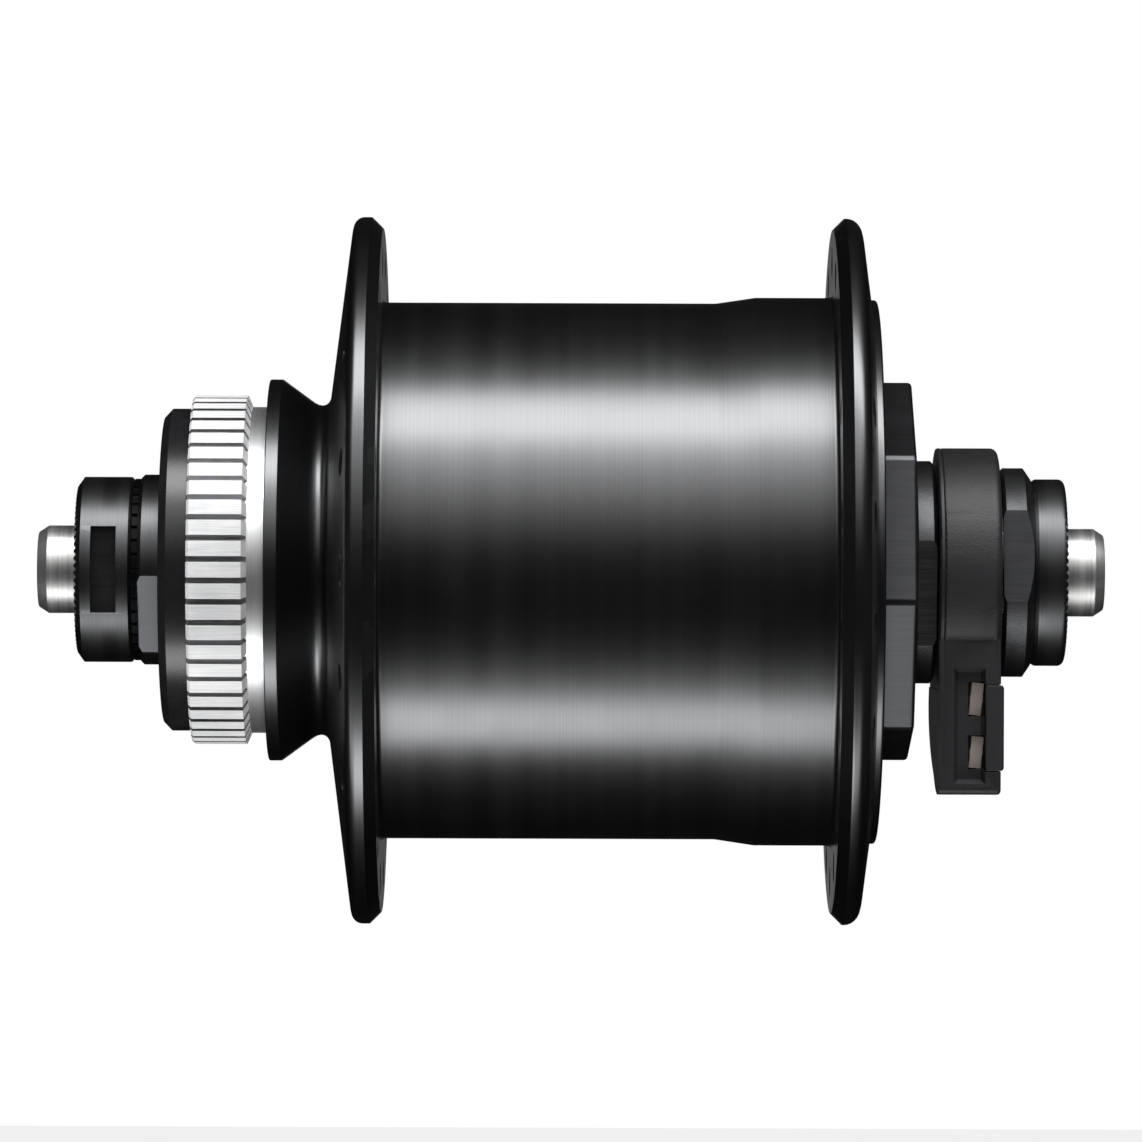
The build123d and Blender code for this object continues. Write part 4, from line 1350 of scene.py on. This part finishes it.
@dataclass
class DiscSideEnd:
    """The cap, cone, washer and locknut at the brake disc's end, in mm."""

    cap_face_y: float = 41.2
    boss_end_y: float = 38.3
    cap_r: float = 16.35
    cap_bore_r: float = 10.05
    spigot_r: float = 15.2
    spigot_bore_r: float = 12.7
    spigot_end_y: float = 34.0
    cone_y: float = 43.6
    collar_y: float = 40.8
    collar_r: float = 9.65
    collar_flats: float = 17.0
    collar_angle: float = 32.0
    washer_y: float = 44.2
    washer_r: float = 9.225
    notch_count: int = 40
    notch_r: float = 0.25
    face_y: float = 50.0
    nut_r: float = 9.4
    nut_chamfer: float = 0.35
    rim_length: float = 0.65
    rim_height: float = 0.9
    recess_y: tuple[float, float] = (45.75, 48.3)
    recess_half: float = 4.35
    recess_depth: float = 0.5
    bore_r: float = 4.8
    cap_chamfer_height: float = 0.85
    cap_chamfer_length: float = 0.8
    cap_round: float = 0.1
    cap_bore_round: float = 0.2

    def cap(self) -> bpy.types.Object:
        """The dust cap in the mouth of the boss."""
        return turned_piece(
            "dust_cap",
            (self.cap_bore_r, self.cap_face_y, self.cap_bore_round),
            (self.cap_r - self.cap_chamfer_height, self.cap_face_y, self.cap_round),
            (self.cap_r, self.cap_face_y - self.cap_chamfer_length, self.cap_round),
            (self.cap_r, self.boss_end_y, self.cap_round),
            (self.spigot_r, self.boss_end_y),
            (self.spigot_r, self.spigot_end_y),
            (self.spigot_bore_r, self.spigot_end_y),
            (self.spigot_bore_r, self.boss_end_y),
            (self.cap_bore_r, self.boss_end_y),
        )

    def cone(self) -> bpy.types.Object:
        """The milled collar of the cone."""
        collar = MilledCollar(
            self.collar_y, self.cone_y, self.collar_r, self.collar_flats, self.collar_angle
        )
        return collar.build("disc_cone_collar")

    def washer(self) -> bpy.types.Object:
        """The notched washer behind the locknut."""
        piece = turned_piece(
            "disc_washer",
            (self.bore_r, self.cone_y),
            (self.washer_r, self.cone_y),
            (self.washer_r, self.washer_y),
            (self.bore_r, self.washer_y),
        )
        bm = bmesh.new()
        place = Vector((-self.washer_r, (self.cone_y + self.washer_y) / 2, 0)) * MM
        bmesh.ops.create_cone(
            bm,
            cap_ends=True,
            segments=12,
            radius1=self.notch_r * MM,
            radius2=self.notch_r * MM,
            depth=2 * OVERRUN * MM,
            matrix=Matrix.Translation(place) @ Matrix.Rotation(math.radians(90), 4, "X"),
        )
        ring_of(bm, self.notch_count, 0)
        cut(piece, bm)
        return piece

    def locknut(self) -> bpy.types.Object:
        """The round locknut, with the shallow recess in its rim and its serrated face."""
        piece = turned_piece(
            "disc_locknut",
            (self.bore_r, self.washer_y),
            (self.nut_r - self.nut_chamfer, self.washer_y),
            (self.nut_r, self.washer_y + self.nut_chamfer),
            (self.nut_r, self.face_y - self.rim_length),
            (self.nut_r - self.rim_height, self.face_y),
            (TEETH.land_r, self.face_y),
            (TEETH.land_r, self.face_y - TEETH.dish_depth),
            (self.bore_r, self.face_y - TEETH.dish_depth),
        )
        half = self.recess_half
        floor = math.sqrt(self.nut_r**2 - half**2) - self.recess_depth
        recess = block((-self.nut_r - OVERRUN, -floor), self.recess_y, (-half, half))
        for face in recess.faces:
            face.material_index = 1
        cut(piece, recess)
        cut(piece, TEETH.cutters(self.face_y, self.nut_r))
        return piece

    def build(self, shop: Workshop) -> None:
        """Builds and dresses the pieces of this end."""
        shop.dress(self.cap(), ("cap_plastic",), "shell", "disc_side_cap")
        milled = ("black_steel", "milled_black")
        for piece, finishes, node, easing in (
            (self.cone(), milled, "disc_side_cone", EDGE),
            # the washer's near-black finish is painted shade in its gap
            (self.washer(), ("washer_painted_shade",), "disc_side_lock_washer", Easing()),
            (self.locknut(), milled, "disc_side_locknut", FINE_EDGE),
        ):
            shop.dress(piece, finishes, "axle_unit", node, easing)


@dataclass
class ConnectorSideEnd:
    """The wide collar of the cone, the nut and the locknut at the connector's end, in mm."""

    collar_y: float = -34.8
    cone_y: float = -36.75
    collar_r: float = 11.3
    collar_flats: float = 19.85
    collar_angle: float = 12.5
    nut_inner_y: float = -43.45
    nut_outer_y: float = -46.55
    nut_r: float = 10.6
    nut_face_r: float = 9.5
    nut_flats: float = 19.0
    nut_angle: float = -10.0
    face_y: float = -50.0
    locknut_r: float = 9.475
    locknut_neck_r: float = 9.2
    bore_r: float = 4.8
    nut_rim_length: float = 0.75
    nut_chamfer: float = 0.3
    locknut_slope: float = 0.5
    locknut_round: float = 0.15
    locknut_rim_round: float = 0.65

    def cone(self) -> bpy.types.Object:
        """The milled collar of the cone."""
        collar = MilledCollar(
            self.collar_y, self.cone_y, self.collar_r, self.collar_flats, self.collar_angle
        )
        return collar.build("drive_cone_collar")

    def nut(self) -> bpy.types.Object:
        """The nut with two flats that holds the connector."""
        nut = turned(
            (
                (self.bore_r, self.nut_outer_y),
                (self.nut_face_r, self.nut_outer_y),
                (self.nut_r, self.nut_outer_y + self.nut_rim_length),
                (self.nut_r, self.nut_inner_y - self.nut_chamfer),
                (self.nut_r - self.nut_chamfer, self.nut_inner_y),
                (self.bore_r, self.nut_inner_y),
            )
        )
        mill_flats(nut, self.nut_flats, self.nut_angle)
        return as_object("connector_nut_turned", nut)

    def locknut(self) -> bpy.types.Object:
        """The locknut with the rounded rim and the serrated face."""
        piece = turned_piece(
            "drive_locknut",
            (self.bore_r, self.nut_outer_y),
            (self.locknut_neck_r, self.nut_outer_y),
            (self.locknut_r, self.nut_outer_y - self.locknut_slope, self.locknut_round),
            (self.locknut_r, self.face_y, self.locknut_rim_round),
            (TEETH.land_r, self.face_y),
            (TEETH.land_r, self.face_y + TEETH.dish_depth),
            (self.bore_r, self.face_y + TEETH.dish_depth),
        )
        cut(piece, TEETH.cutters(self.face_y, self.locknut_r))
        return piece

    def build(self, shop: Workshop) -> None:
        """Builds and dresses the pieces of this end."""
        for piece, finishes, node, easing in (
            (self.cone(), ("nut_black", "ground_steel"), "drive_side_cone", EDGE),
            (self.nut(), ("nut_black", "milled_black"), "connector_nut", EDGE),
            (self.locknut(), ("black_steel", "milled_black"), "drive_side_locknut", FINE_EDGE),
        ):
            shop.dress(piece, finishes, "axle_unit", node, easing)


@dataclass
class Axle:
    """The hollow axle with its two turned tips, in mm."""

    tip_y: float = 54.0
    face_y: float = 50.0
    tip_r: float = 4.45
    thread_r: float = 4.75
    bore_r: float = 2.75
    chamfer_length: float = 1.0
    chamfer_height: float = 0.65
    bore_round: float = 0.2
    nose_round: float = 0.12
    shoulder_round: float = 0.15

    def build(self, shop: Workshop) -> None:
        """Builds and dresses the axle."""
        shoulder = self.tip_y - self.chamfer_length
        nose = self.tip_r - self.chamfer_height
        piece = turned_piece(
            "axle_turned",
            (self.bore_r, self.tip_y, self.bore_round),
            (nose, self.tip_y, self.nose_round),
            (self.tip_r, shoulder, self.shoulder_round),
            (self.tip_r, self.face_y),
            (self.thread_r, self.face_y),
            (self.thread_r, -self.face_y),
            (self.tip_r, -self.face_y),
            (self.tip_r, -shoulder, self.shoulder_round),
            (nose, -self.tip_y, self.nose_round),
            (self.bore_r, -self.tip_y, self.bore_round),
            steps=128,
        )
        shop.dress(piece, ("axle_steel",), "axle_unit", "axle")


@dataclass
class Connector:
    """The lamp connector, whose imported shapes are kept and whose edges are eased, in mm."""

    edge: float = 0.12
    contact_edge: float = 0.08
    seam: float = 0.002
    flat_within: float = 0.5

    def eased_copy(self, shop: Workshop, node: str) -> bpy.types.Object:
        """A copy of a node with its flat faces whole and its normals its own.

        Args:
            shop: The workshop.
            node: The node.

        Returns:
            The copy.
        """
        bm = bmesh.new()
        bm.from_mesh(shop.frame["nodes"][node].data)
        bmesh.ops.remove_doubles(bm, verts=bm.verts[:], dist=self.seam * MM)
        bmesh.ops.recalc_face_normals(bm, faces=bm.faces[:])
        limit = math.radians(self.flat_within)
        bmesh.ops.dissolve_limit(bm, angle_limit=limit, verts=bm.verts[:], edges=bm.edges[:])
        piece = as_object(node + "_eased", bm)
        given = piece.data.attributes.get("custom_normal")
        if given:
            piece.data.attributes.remove(given)
        return piece

    def build(self, shop: Workshop) -> None:
        """Builds and dresses the pieces of the connector."""
        for slot, edge, nodes in (
            (
                "connector_plastic",
                self.edge,
                ("connector_side_cover", "connector_housing", "terminal_insert"),
            ),
            ("contact_metal", self.contact_edge, ("contact_live", "contact_earth")),
        ):
            for node in nodes:
                piece = self.eased_copy(shop, node)
                shop.dress(piece, (slot,), "axle_unit", node, Easing(edge))


@dataclass
class CarriedOver:
    """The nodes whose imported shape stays, each with the finish of its slot."""

    def build(self, shop: Workshop) -> None:
        """Dresses every node by its slot in the record."""
        for node, item in shop.frame["nodes"].items():
            given = [slot.material for slot in item.material_slots if slot.material]
            for name in [material.name.split(".")[0] for material in given]:
                if name in shop.materials:
                    shop.paint_node(node, name)
                else:
                    LOG.warning("%s has no finish %s", node, name)


def main() -> None:
    """Builds the studio and the dressed hub."""
    logging.basicConfig(level=logging.INFO, format="%(name)s %(levelname)s %(message)s")
    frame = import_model()
    effects = Effects()
    materials = {finish.name: finish.material(effects) for finish in FINISHES}
    shop = Workshop(frame, materials)
    Studio().build()
    CarriedOver().build(shop)
    ends = (DiscSideEnd(), ConnectorSideEnd())
    for assembly in (HubShell(), EndCover(), *ends, Connector(), Axle()):
        assembly.build(shop)


if __name__ == "__main__":
    main()
